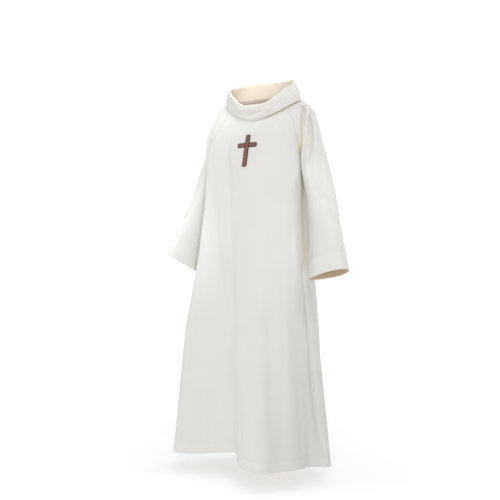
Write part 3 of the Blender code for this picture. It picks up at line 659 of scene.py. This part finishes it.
def collar_cloth(part):
    """A collar piece: up from the neck seam, over the rim and down to its free edge."""
    ring = neck_ring(part, COLLAR_COLUMNS + 1)
    middle = np.array([read(BODY, "middle_x", NECK), RIM_MIDDLE_Y, 0.0])
    away = ring - middle
    angle = np.degrees(np.arctan2(away[:, 0] / RIM_HALF_WIDTH, -away[:, 1] / RIM_REACH))
    across, ahead = np.sin(np.radians(angle)), np.cos(np.radians(angle))
    outward = np.stack([across, -ahead, 0 * across], -1)
    up = np.array([0, 0, 1.0])
    rim = np.stack([middle[0] + RIM_HALF_WIDTH * across, RIM_MIDDLE_Y - RIM_REACH * ahead,
                    read(COLLAR, "rim_z", angle)], -1)
    edge = (ring + outward * read(COLLAR, "fall_out", angle)[:, None]
            - up * read(COLLAR, "fall_drop", angle)[:, None])
    at, spread, stands_out, stands_up = STANDS_OFF
    stands = bump(angle - at, spread)[:, None]
    edge = (edge + outward * (stands_out * stands - read(COLLAR, "tuck", angle)[:, None])
            + up * stands_up * stands)
    crown = rim - up * RIM_ROUND
    inner, outer = crown - outward * RIM_ROUND, crown + outward * RIM_ROUND
    base = ring + (inner - ring) * COLLAR_FROM
    rows = [base + (inner - base) * t for t in np.linspace(0, 1, STAND_ROWS)]
    rows += [crown + RIM_ROUND * (up * math.sin(a) - outward * math.cos(a))
             for a in np.linspace(0, math.pi, RIM_ROWS)[1:-1]]
    standing = len(rows)
    falls = np.concatenate([np.linspace(0, EDGE_FROM, FALL_ROWS), np.linspace(EDGE_FROM, 1, EDGE_ROWS)[1:]])
    rows += [outer + (edge - outer) * t + outward * COLLAR_FULLNESS * math.sin(math.pi * t) ** 2
             for t in falls]
    places = np.array(rows)
    layer = places[standing:]

    def on_fall(along, fall):
        column = np.clip(np.asarray(along) * COLLAR_COLUMNS, 0, COLLAR_COLUMNS).astype(int)
        row = np.clip(np.interp(fall, falls, np.arange(len(falls))), 0, len(falls) - 1).astype(int)
        return layer[row, column]

    creases = FRONT_COLLAR_CREASES if part == "front" else BACK_COLLAR_CREASES
    falling, painted_shading = creased(layer, creases, on_fall, COLLAR_CREASE_ENDS)
    if part == "front":
        falling, line = creased(falling, COLLAR_LINES, on_fall, COLLAR_LINE_ENDS)
        painted_shading = np.maximum(painted_shading, line)
    # painted warm light over the stand's first rows, inside the neck, fading towards the rim
    inside = 1 - smooth_step((np.arange(standing) - STAND_PAINTED_ROWS) / (standing - STAND_PAINTED_ROWS))
    return (np.concatenate([places[:standing], falling]),
            np.concatenate([inside[:, None] * np.ones_like(painted_shading[:1]), painted_shading]))


def sheet_of(name, cloth, columns, height, finish, inside, allowance, dip):
    """One sewn piece of cloth, with its turned-up edge and its seams, and its sewing line."""
    places, painted_shading = cloth
    spread, painted_shading, seams = spaced(sewn_dips(places, height, *dip), painted_shading, columns)
    nearest = np.abs(from_edge(spread, 0, -1) - (height - SEWN_BELOW)).argmin(0)
    out = directions(spread)
    line = [spread[i, j] + out[i, j] * (CLOTH / 2 + ON_CLOTH) for j, i in enumerate(nearest)]
    piece = cloth_wall(name, *turned(spread, painted_shading, seams, height, allowance), finish, inside)
    return piece, np.array(line)[1:-1]


# ---------------------------------------------------------------- stitches


def stitch_nodes():
    """A row of short stitches along a line: pitch, stitch length, thread thickness and thread."""
    tree = bpy.data.node_groups.new("row of stitches", "GeometryNodeTree")
    sockets = {}
    tree.interface.new_socket("Geometry", in_out="INPUT", socket_type="NodeSocketGeometry")
    for name, kind, value in (("Pitch", "Float", 0.003), ("Stitch length", "Float", 0.002),
                              ("Thread radius", "Float", 0.0002), ("Unevenness", "Float", 0.1),
                              ("Seed", "Int", 3), ("Thread", "Material", None)):
        socket = tree.interface.new_socket(name, in_out="INPUT", socket_type="NodeSocket" + kind)
        sockets[name] = socket.identifier
        if value is not None:
            socket.default_value = value
    tree.interface.new_socket("Geometry", in_out="OUTPUT", socket_type="NodeSocketGeometry")
    make = tree.nodes.new
    given, result = make("NodeGroupInput"), make("NodeGroupOutput")
    curve, resample = make("GeometryNodeMeshToCurve"), make("GeometryNodeResampleCurve")
    tangent, align = make("GeometryNodeInputTangent"), make("FunctionNodeAlignRotationToVector")
    ball, place = make("GeometryNodeMeshUVSphere"), make("GeometryNodeInstanceOnPoints")
    half, least, most = make("ShaderNodeMath"), make("ShaderNodeMath"), make("ShaderNodeMath")
    size, resize = make("ShaderNodeCombineXYZ"), make("ShaderNodeVectorMath")
    vary = make("FunctionNodeRandomValue")
    real, finish = make("GeometryNodeRealizeInstances"), make("GeometryNodeSetMaterial")
    resample.mode, align.axis, vary.data_type = "LENGTH", "Z", "FLOAT"
    half.operation, resize.operation = "MULTIPLY", "SCALE"
    least.operation, most.operation = "SUBTRACT", "ADD"
    half.inputs[1].default_value = 0.5
    least.inputs[0].default_value = most.inputs[0].default_value = 1.0
    for name, value in (("Segments", 6), ("Rings", 4), ("Radius", 1.0)):
        ball.inputs[name].default_value = value
    for source, output, target, socket in (
            (given, "Geometry", curve, "Mesh"), (curve, "Curve", resample, "Curve"),
            (given, "Pitch", resample, "Length"), (tangent, "Tangent", align, "Vector"),
            (resample, "Curve", place, "Points"), (ball, "Mesh", place, "Instance"),
            (align, "Rotation", place, "Rotation"), (given, "Stitch length", half, 0),
            (given, "Thread radius", size, "X"), (given, "Thread radius", size, "Y"), (half, 0, size, "Z"),
            (given, "Unevenness", least, 1), (given, "Unevenness", most, 1), (least, 0, vary, "Min"),
            (most, 0, vary, "Max"), (given, "Seed", vary, "Seed"), (size, 0, resize, 0),
            (vary, "Value", resize, "Scale"), (resize, 0, place, "Scale"),
            (place, "Instances", real, "Geometry"), (real, "Geometry", finish, "Geometry"),
            (given, "Thread", finish, "Material"), (finish, "Geometry", result, "Geometry")):
        tree.links.new(source.outputs[output], target.inputs[socket])
    return tree, sockets


def row_of_stitches(name, line, thread, seed):
    """A sewn row along a line of points, as one plain mesh."""
    mesh = bpy.data.meshes.new(name + " line")
    mesh.from_pydata(line.tolist(), [(i, i + 1) for i in range(len(line) - 1)], [])
    guide = put(name + " line", mesh)
    modifier = guide.modifiers.new("stitches", "NODES")
    modifier.node_group = STITCHES
    for socket, value in (("Pitch", STITCH_PITCH), ("Stitch length", STITCH_LENGTH),
                          ("Thread radius", THREAD_RADIUS), ("Unevenness", STITCH_UNEVENNESS),
                          ("Seed", seed), ("Thread", thread)):
        modifier[STITCH_INPUTS[socket]] = value
    bpy.context.view_layer.update()
    made = bpy.data.meshes.new_from_object(guide.evaluated_get(bpy.context.evaluated_depsgraph_get()))
    bpy.data.objects.remove(guide)
    made.name = name
    made.shade_smooth()
    return put(name, made)


# ---------------------------------------------------------------- chest cross


def on_front(x, z):
    """Points of the front cloth at places across and up, and the directions out of it there."""
    angle, level = np.zeros(len(x)), np.full(len(x), 0.5)
    step = 1e-3
    for _ in range(12):
        point = body_place(angle, level)
        by_angle = (body_place(angle + step, level) - point) / step
        by_level = (body_place(angle, level + step) - point) / step
        dx, dz = x - point[:, 0], z - point[:, 2]
        scale = by_angle[:, 0] * by_level[:, 2] - by_level[:, 0] * by_angle[:, 2]
        angle = angle + (dx * by_level[:, 2] - by_level[:, 0] * dz) / scale
        level = level + (by_angle[:, 0] * dz - dx * by_angle[:, 2]) / scale
    outward = unit(np.cross(by_angle, by_level))
    return body_place(angle, level), outward * np.where(outward[:, 1:2] < 0, 1, -1)


def cross_bar(start, end, lift):
    """One bar with rounded corners: points (across, up, out), faces, and how near each is to its edge."""
    start, along = np.array(start, float), np.array(end, float) - start
    length = np.linalg.norm(along)
    along /= length
    beside = np.array([-along[1], along[0]])
    half, corner = CROSS_BAR / 2, CROSS_CORNER
    flat, straight = half - corner, length - 2 * corner
    steps = max(10, int(round(straight / CROSS_STEP)))
    outline = []
    for towards, far in ((1, corner + straight), (-1, corner)):
        outline += [(corner + straight * (t if towards > 0 else 1 - t), -towards * half)
                    for t in np.linspace(0, 1, steps + 1)]
        for k in range(1, 15):
            if k == 8:
                outline += [(far + towards * corner, towards * flat * part) for part in (-0.3, 0.3)]
            a = math.pi / 14 * k
            outline.append((far + towards * corner * math.sin(a),
                            towards * ((-flat if k < 8 else flat) - corner * math.cos(a))))
    outline = np.array(outline)
    spine = np.stack([np.clip(outline[:, 0], half, length - half), 0 * outline[:, 1]], -1)
    points, near = [], []
    for reach, rise in CROSS_PROFILE:
        ring = spine + (outline - spine) * reach
        place = start + ring[:, :1] * along + ring[:, 1:] * beside
        height = lift * (rise > 0) + CROSS_HEIGHT * rise
        points.append(np.concatenate([place, np.full((len(place), 1), height)], 1))
        near.append(np.full(len(place), reach))
    count, last = len(outline), (len(CROSS_PROFILE) - 1) * len(outline)
    faces = [(k + i, k + count + i, k + count + (i + 1) % count, k + (i + 1) % count)
             for k in range(0, last, count) for i in range(count)]
    faces.append(tuple(last + i for i in range(count))[::-1])
    return np.concatenate(points), faces, np.concatenate(near)


def chest_cross(finish):
    """The cross, crowned and corded round its edge, bent to the front and laid on it."""
    flat, faces_flat, near_flat = cross_bar((-CROSS_ARM, 0), (CROSS_ARM, 0), 0.0)
    over, faces_over, near_over = cross_bar((0, CROSS_TOP), (0, -CROSS_FOOT), CROSS_OVER)
    faces = faces_flat + [tuple(i + len(flat) for i in face) for face in faces_over]
    plan, near = np.concatenate([flat, over]), np.concatenate([near_flat, near_over])
    c, s = math.cos(CROSS_TILT), math.sin(CROSS_TILT)
    base, outward = on_front(CROSS_CENTRE_X + c * plan[:, 0] - s * plan[:, 1],
                             CROSS_CENTRE_Z + s * plan[:, 0] + c * plan[:, 1])
    places = base + outward * (CLOTH / 2 + CROSS_GAP + plan[:, 2:])
    mesh = bpy.data.meshes.new("alb_cross")
    mesh.from_pydata(places.tolist(), [], faces)
    mark_points(mesh, "edge", near)
    lay_map(mesh, plan[:, :2])
    merged = bmesh.new()
    merged.from_mesh(mesh)
    bmesh.ops.remove_doubles(merged, verts=merged.verts, dist=1e-6)
    bmesh.ops.recalc_face_normals(merged, faces=merged.faces)
    merged.to_mesh(mesh)
    merged.free()
    mesh.materials.append(finish)
    mesh.shade_smooth()
    return put("alb_cross", mesh)


# ---------------------------------------------------------------- finishes


def add(tree, kind, **values):
    """A node with its inputs set, by their names with _ for a space."""
    node = tree.nodes.new(kind)
    for label, value in values.items():
        node.inputs[label.replace("_", " ")].default_value = value
    return node


def group(name, inputs, outputs):
    tree = bpy.data.node_groups.new(name, "ShaderNodeTree")
    for label, kind, value in inputs:
        tree.interface.new_socket(label, in_out="INPUT", socket_type=kind).default_value = value
    for label in outputs:
        tree.interface.new_socket(label, in_out="OUTPUT", socket_type="NodeSocketFloat")
    return tree, tree.nodes.new("NodeGroupInput"), tree.nodes.new("NodeGroupOutput")


def sums(tree, operation, first, second=0.0):
    """A sum on two sockets or numbers."""
    node = tree.nodes.new("ShaderNodeMath")
    node.operation = operation
    for socket, value in zip(node.inputs, (first, second)):
        if isinstance(value, (int, float)):
            socket.default_value = value
        else:
            tree.links.new(value, socket)
    return node.outputs[0]


def weave_group():
    """Plain weave with uneven threads: its height, its slubs and its cloudiness, all 0 to 1."""
    tree, given, result = group(
        "plain weave",
        (("Place", "NodeSocketVector", (0, 0, 0)), ("Threads a metre", "NodeSocketFloat", 1400.0),
         ("Cloud size", "NodeSocketFloat", 9.0)), ("Height", "Slubs", "Clouds"))
    split = tree.nodes.new("ShaderNodeSeparateXYZ")
    tree.links.new(given.outputs["Place"], split.inputs[0])
    turns = sums(tree, "MULTIPLY", given.outputs["Threads a metre"], math.pi)
    waves = [sums(tree, "SINE", sums(tree, "MULTIPLY", split.outputs[axis], turns)) for axis in (0, 1)]
    over = sums(tree, "MULTIPLY", waves[0], waves[1])
    raised = sums(tree, "ADD", sums(tree, "MULTIPLY", over, 0.5), 0.5)
    slubs = []
    for stretch in ((900.0, 14.0, 1.0), (14.0, 900.0, 1.0)):
        mapping = add(tree, "ShaderNodeMapping", Scale=stretch)
        tree.links.new(given.outputs["Place"], mapping.inputs["Vector"])
        noise = add(tree, "ShaderNodeTexNoise", Scale=1.0, Detail=2.0)
        tree.links.new(mapping.outputs[0], noise.inputs["Vector"])
        slubs.append(noise.outputs["Fac"])
    both = sums(tree, "MULTIPLY", sums(tree, "ADD", *slubs), 0.5)
    cloud = add(tree, "ShaderNodeTexNoise", Detail=3.0)
    tree.links.new(given.outputs["Cloud size"], cloud.inputs["Scale"])
    tree.links.new(given.outputs["Place"], cloud.inputs["Vector"])
    height = sums(tree, "ADD", sums(tree, "MULTIPLY", raised, 0.6), sums(tree, "MULTIPLY", both, 0.4))
    for source, label in ((height, "Height"), (both, "Slubs"), (cloud.outputs["Fac"], "Clouds")):
        tree.links.new(source, result.inputs[label])
    return tree


def blend_colours(tree, amount, first, second):
    node = tree.nodes.new("ShaderNodeMix")
    node.data_type = "RGBA"
    tree.links.new(amount, node.inputs[0])
    for socket, value in zip((node.inputs[6], node.inputs[7]), (first, second)):
        if isinstance(value, tuple):
            socket.default_value = (*value, 1.0)
        else:
            tree.links.new(value, socket)
    return node.outputs[2]


def ranged(tree, value, low, high, to_low=0.0, to_high=1.0):
    node = add(tree, "ShaderNodeMapRange", From_Min=low, From_Max=high, To_Min=to_low, To_Max=to_high)
    tree.links.new(value, node.inputs["Value"])
    return node.outputs[0]


def toned(tree, tone, colour, amount, low, high, most=1.0):
    """A tone that turns to a colour as the amount goes from low to high."""
    return blend_colours(tree, ranged(tree, amount, low, high, 0.0, most), tone, colour)


def new_finish(name, **values):
    finish = bpy.data.materials.new(name)
    finish.use_nodes = True
    shader = finish.node_tree.nodes["Principled BSDF"]
    for label, value in values.items():
        shader.inputs[label.replace("_", " ")].default_value = value
    return finish, finish.node_tree, shader


def marked(tree, label):
    node = tree.nodes.new("ShaderNodeAttribute")
    node.attribute_name = label
    return node.outputs["Fac"]


def cloth_map(tree):
    node = tree.nodes.new("ShaderNodeUVMap")
    node.uv_map = "cloth"
    return node.outputs["UV"]


def roughened(tree, shader, height, strength, distance):
    node = add(tree, "ShaderNodeBump", Strength=strength, Distance=distance)
    tree.links.new(height, node.inputs["Height"])
    tree.links.new(node.outputs[0], shader.inputs["Normal"])


def woven(name, colour, thicker, darker, folded, turn_shade_tone=None):
    """A matte woven finish: its colour, its tones where double and clouded, its painted warm light and
    shade in folds and gaps, and its painted warm shade on the turned-up cloth.
    """
    finish, tree, shader = new_finish(name, Sheen_Weight=0.12, Sheen_Roughness=0.5, Specular_IOR_Level=0.25)
    weave = tree.nodes.new("ShaderNodeGroup")
    weave.node_tree = WEAVE
    tree.links.new(cloth_map(tree), weave.inputs["Place"])
    tone = toned(tree, colour, darker, weave.outputs["Clouds"], 0.35, 0.65)
    tone = toned(tree, tone, thicker, marked(tree, "double"), 0.0, 1.0, 0.7)
    # painted warm light and shade in folds and gaps, then painted warm shade on the turned-up cloth
    painted_shading = marked(tree, "painted_shading")
    tone = toned(tree, tone, folded, painted_shading, 0.0, 1.0)
    if turn_shade_tone:
        tone = toned(tree, tone, turn_shade_tone, painted_shading, 1.05, TURNED_UP_SHADE)
    tone = toned(tree, tone, tuple(c * 0.955 for c in colour), weave.outputs["Slubs"], 0.56, 0.72)
    tree.links.new(tone, shader.inputs["Base Color"])
    tree.links.new(ranged(tree, weave.outputs["Slubs"], 0.3, 0.7, 0.82, 0.92), shader.inputs["Roughness"])
    roughened(tree, shader, weave.outputs["Height"], 0.35, 0.00012)
    return finish


def thread_finish(name, colour):
    finish, tree, shader = new_finish(name)
    spot, twist = tree.nodes.new("ShaderNodeTexCoord"), add(tree, "ShaderNodeTexNoise", Scale=1200.0)
    tree.links.new(spot.outputs["Object"], twist.inputs["Vector"])
    tree.links.new(blend_colours(tree, twist.outputs["Fac"], colour, tuple(c * 0.9 for c in colour)),
                   shader.inputs["Base Color"])
    tree.links.new(ranged(tree, twist.outputs["Fac"], 0.3, 0.7, 0.55, 0.72), shader.inputs["Roughness"])
    return finish


def cross_finish(name, middle, streak, cord):
    """Brown with a fine grain, and a darker corded edge."""
    finish, tree, shader = new_finish(name, Specular_IOR_Level=0.35)
    grain = add(tree, "ShaderNodeTexNoise", Scale=330.0, Detail=4.0)
    ribs = add(tree, "ShaderNodeTexWave", Scale=420.0)
    ribs.bands_direction = "DIAGONAL"
    plan = cloth_map(tree)
    for texture in (grain, ribs):
        tree.links.new(plan, texture.inputs["Vector"])
    tone = toned(tree, middle, streak, grain.outputs["Fac"], 0.35, 0.65)
    tone = toned(tree, tone, cord, marked(tree, "edge"), 0.62, 0.77)
    tree.links.new(tone, shader.inputs["Base Color"])
    tree.links.new(ranged(tree, grain.outputs["Fac"], 0.3, 0.7, 0.45, 0.65), shader.inputs["Roughness"])
    roughened(tree, shader, sums(tree, "ADD", ribs.outputs["Fac"], grain.outputs["Fac"]), 0.5, 0.0002)
    return finish


# ---------------------------------------------------------------- the alb

STITCHES, STITCH_INPUTS = stitch_nodes()
WEAVE = weave_group()
# Tones: plain, where double, in its clouds, deep in a fold as painted warm shade (on the collar, painted
# warm light) and, outside the body and sleeves, on the turned-up cloth as painted warm shade. Each wrong
# side is a warmer copy of its cloth: painted warm light.
BODY_SIDES = (
    woven("ivory cloth", (0.870, 0.858, 0.834), (0.890, 0.876, 0.842), (0.855, 0.842, 0.814),
          (0.862, 0.775, 0.560), (0.845, 0.700, 0.505)),
    woven("ivory cloth inside", (0.925, 0.828, 0.710), (0.935, 0.838, 0.720), (0.905, 0.806, 0.680),
          (0.930, 0.800, 0.645)),
)
COLLAR_SIDES = (
    woven("collar cloth", (0.872, 0.852, 0.806), (0.882, 0.862, 0.816), (0.858, 0.836, 0.786),
          (0.955, 0.865, 0.735)),
    woven("collar cloth inside", (0.945, 0.842, 0.722), (0.950, 0.848, 0.730), (0.930, 0.820, 0.692),
          (0.935, 0.820, 0.670)),
)
thread = thread_finish("ivory thread", (0.86, 0.84, 0.79))
cross_brown = cross_finish("brown cross", (0.225, 0.098, 0.064), (0.320, 0.158, 0.108),
                           (0.040, 0.014, 0.011))

# Slot, right and wrong side, cloth turned in at the seams, how it is drawn in there, how it is held
BODY_MAKING = ("ivory_cloth", BODY_SIDES, ALLOWANCE, SEAM_DIP, "hung")
COLLAR_MAKING = ("collar_cloth", COLLAR_SIDES, COLLAR_ALLOWANCE, COLLAR_SEAM_DIP, "folded")
PIECES = (
    # name, node replaced, cloth, columns, turned-up edge, flat size, flat area, making
    ("alb_front", "front_piece", body_cloth("front"), 176, HEM_TURN, (0.73, 1.10), 0.561, BODY_MAKING),
    ("alb_back", "back_piece", body_cloth("back"), 176, HEM_TURN, (0.73, 1.125), 0.601, BODY_MAKING),
    ("alb_left_sleeve", "left_sleeve", sleeve_cloth(1), 150, CUFF_TURN, (0.36, 0.62), 0.170,
     BODY_MAKING),
    ("alb_right_sleeve", "right_sleeve", sleeve_cloth(-1), 140, CUFF_TURN, (0.31, 0.61), 0.140,
     BODY_MAKING),
    ("alb_collar_front", "collar_front", collar_cloth("front"), 190, EDGE_TURN, (0.35, 0.135), 0.0349,
     COLLAR_MAKING),
    ("alb_collar_back", "collar_back", collar_cloth("back"), 170, EDGE_TURN, (0.31, 0.135), 0.0340,
     COLLAR_MAKING),
)
for seed, (name, node, cloth, columns, height, flat, area, making) in enumerate(PIECES, 1):
    slot, sides, allowance, dip, held = making
    piece, line = sheet_of(name, cloth, columns, height, *sides, allowance, dip)
    sewing = row_of_stitches(name + "_stitches", line, thread, seed)
    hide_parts(node)
    for part in (piece, sewing):
        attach(part, "root")

cross = chest_cross(cross_brown)
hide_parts("chest_cross")
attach(cross, "root")

# ---------------------------------------------------------------- floor, light and camera

FLOOR_Z, FLOOR_HALF = -1.10, 40
FLOOR_GLOW = 0.30                      # the light it gives; the camera sees NEAR_GLOW to FAR_GLOW
NEAR_GLOW, FAR_GLOW = 0.61, 1.0
GLOW_FROM, GLOW_TO = 1.15, 2.6         # metres from the middle
WORLD_GLOW, WORLD_SEEN = 0.20, 1.1     # the light it gives, and what the camera sees
SOFT_AIM = (0, 0, -0.45)
SOFT_LIGHTS = (
    # name, place, size, power
    ("wide front light", (1.688, -3.179, 0.7), (3.0, 3.0), 39.0),
    ("high front light", (1.390, -1.978, 2.2), (2.0, 2.0), 14.0),
    ("light from above", (0.000, 0.000, 2.8), (2.0, 2.0), 24.0),
    ("side light at the right", (-2.638, -1.854, 0.0), (1.8, 2.6), 18.0),
    ("back light at the right", (-3.170, -0.212, 0.0), (1.8, 2.6), 14.0),
    ("low light at the right", (-0.900, -3.421, -0.9), (2.2, 2.0), 23.0),
    ("back light at the left", (1.857, 2.685, 0.0), (1.8, 2.6), 32.0),
    ("high light at the left", (2.235, 0.055, 2.2), (2.0, 2.0), 8.0),
)
NARROW_LIGHTS = (
    # name, place, aim, angle, size, power
    ("collar light", (0.70, -0.95, 1.05), (-0.065, -0.01, 0.05), 11, 0.10, 72.0),
    ("light on the right sleeve", (-1.076, -3.515, 0.2), (-0.27, -0.095, -0.37), 5.2, 0.15, 250.0),
    ("light on the left sleeve", (2.235, 0.055, 2.2), (0.235, -0.045, -0.27), 9.5, 0.15, 90.0),
)


def plain_floor():
    mesh = bpy.data.meshes.new("floor")
    corners = [(x * FLOOR_HALF, y * FLOOR_HALF, FLOOR_Z) for x, y in ((-1, -1), (1, -1), (1, 1), (-1, 1))]
    mesh.from_pydata(corners, [], [(0, 1, 2, 3)])
    finish, tree, shader = new_finish("floor", Base_Color=(0.55, 0.55, 0.55, 1), Roughness=1.0,
                                      Specular_IOR_Level=0.0, Emission_Color=(1, 1, 1, 1))
    place, away = tree.nodes.new("ShaderNodeTexCoord"), tree.nodes.new("ShaderNodeVectorMath")
    away.operation = "LENGTH"
    tree.links.new(place.outputs["Object"], away.inputs[0])
    path, glow = tree.nodes.new("ShaderNodeLightPath"), add(tree, "ShaderNodeMapRange", To_Min=FLOOR_GLOW)
    tree.links.new(ranged(tree, away.outputs["Value"], GLOW_FROM, GLOW_TO, NEAR_GLOW, FAR_GLOW),
                   glow.inputs["To Max"])
    tree.links.new(path.outputs["Is Camera Ray"], glow.inputs["Value"])
    tree.links.new(glow.outputs[0], shader.inputs["Emission Strength"])
    mesh.materials.append(finish)
    return put("floor", mesh)


def new_lamp(name, kind, place, aim, power):
    lamp = bpy.data.lights.new(name, kind)
    lamp.energy = power
    light = put(name, lamp)
    light.location = place
    light.rotation_euler = (Vector(aim) - Vector(place)).to_track_quat("-Z", "Y").to_euler()
    return lamp


def studio():
    """A white surround that gives little light itself, and the lamps."""
    world = bpy.data.worlds.new("studio")
    world.use_nodes = True
    tree = world.node_tree
    tree.nodes.clear()
    seen = add(tree, "ShaderNodeBackground", Color=(1, 1, 1, 1), Strength=WORLD_SEEN)
    lit = add(tree, "ShaderNodeBackground", Color=(1, 1, 1, 1), Strength=WORLD_GLOW)
    path, pick = tree.nodes.new("ShaderNodeLightPath"), tree.nodes.new("ShaderNodeMixShader")
    result = tree.nodes.new("ShaderNodeOutputWorld")
    tree.links.new(path.outputs["Is Camera Ray"], pick.inputs[0])
    tree.links.new(lit.outputs[0], pick.inputs[1])
    tree.links.new(seen.outputs[0], pick.inputs[2])
    tree.links.new(pick.outputs[0], result.inputs["Surface"])
    bpy.context.scene.world = world
    for name, place, size, power in SOFT_LIGHTS:
        lamp = new_lamp(name, "AREA", place, SOFT_AIM, power)
        lamp.shape = "RECTANGLE"
        lamp.size, lamp.size_y = size
    for name, place, aim, angle, size, power in NARROW_LIGHTS:
        lamp = new_lamp(name, "SPOT", place, aim, power)
        lamp.spot_size, lamp.spot_blend, lamp.shadow_soft_size = math.radians(angle), 1.0, size


plain_floor()
studio()

camera_data = bpy.data.cameras.new("camera")
camera_data.sensor_width = 36.0
camera_data.lens = 84.96
camera_data.shift_x = -0.024
camera_object = put("camera", camera_data)
camera_object.location = (1.6432, -3.0903, -0.15)
camera_object.rotation_euler = (math.radians(85.38), 0, math.radians(28))
bpy.context.scene.camera = camera_object
bpy.context.scene.view_settings.view_transform = "Standard"
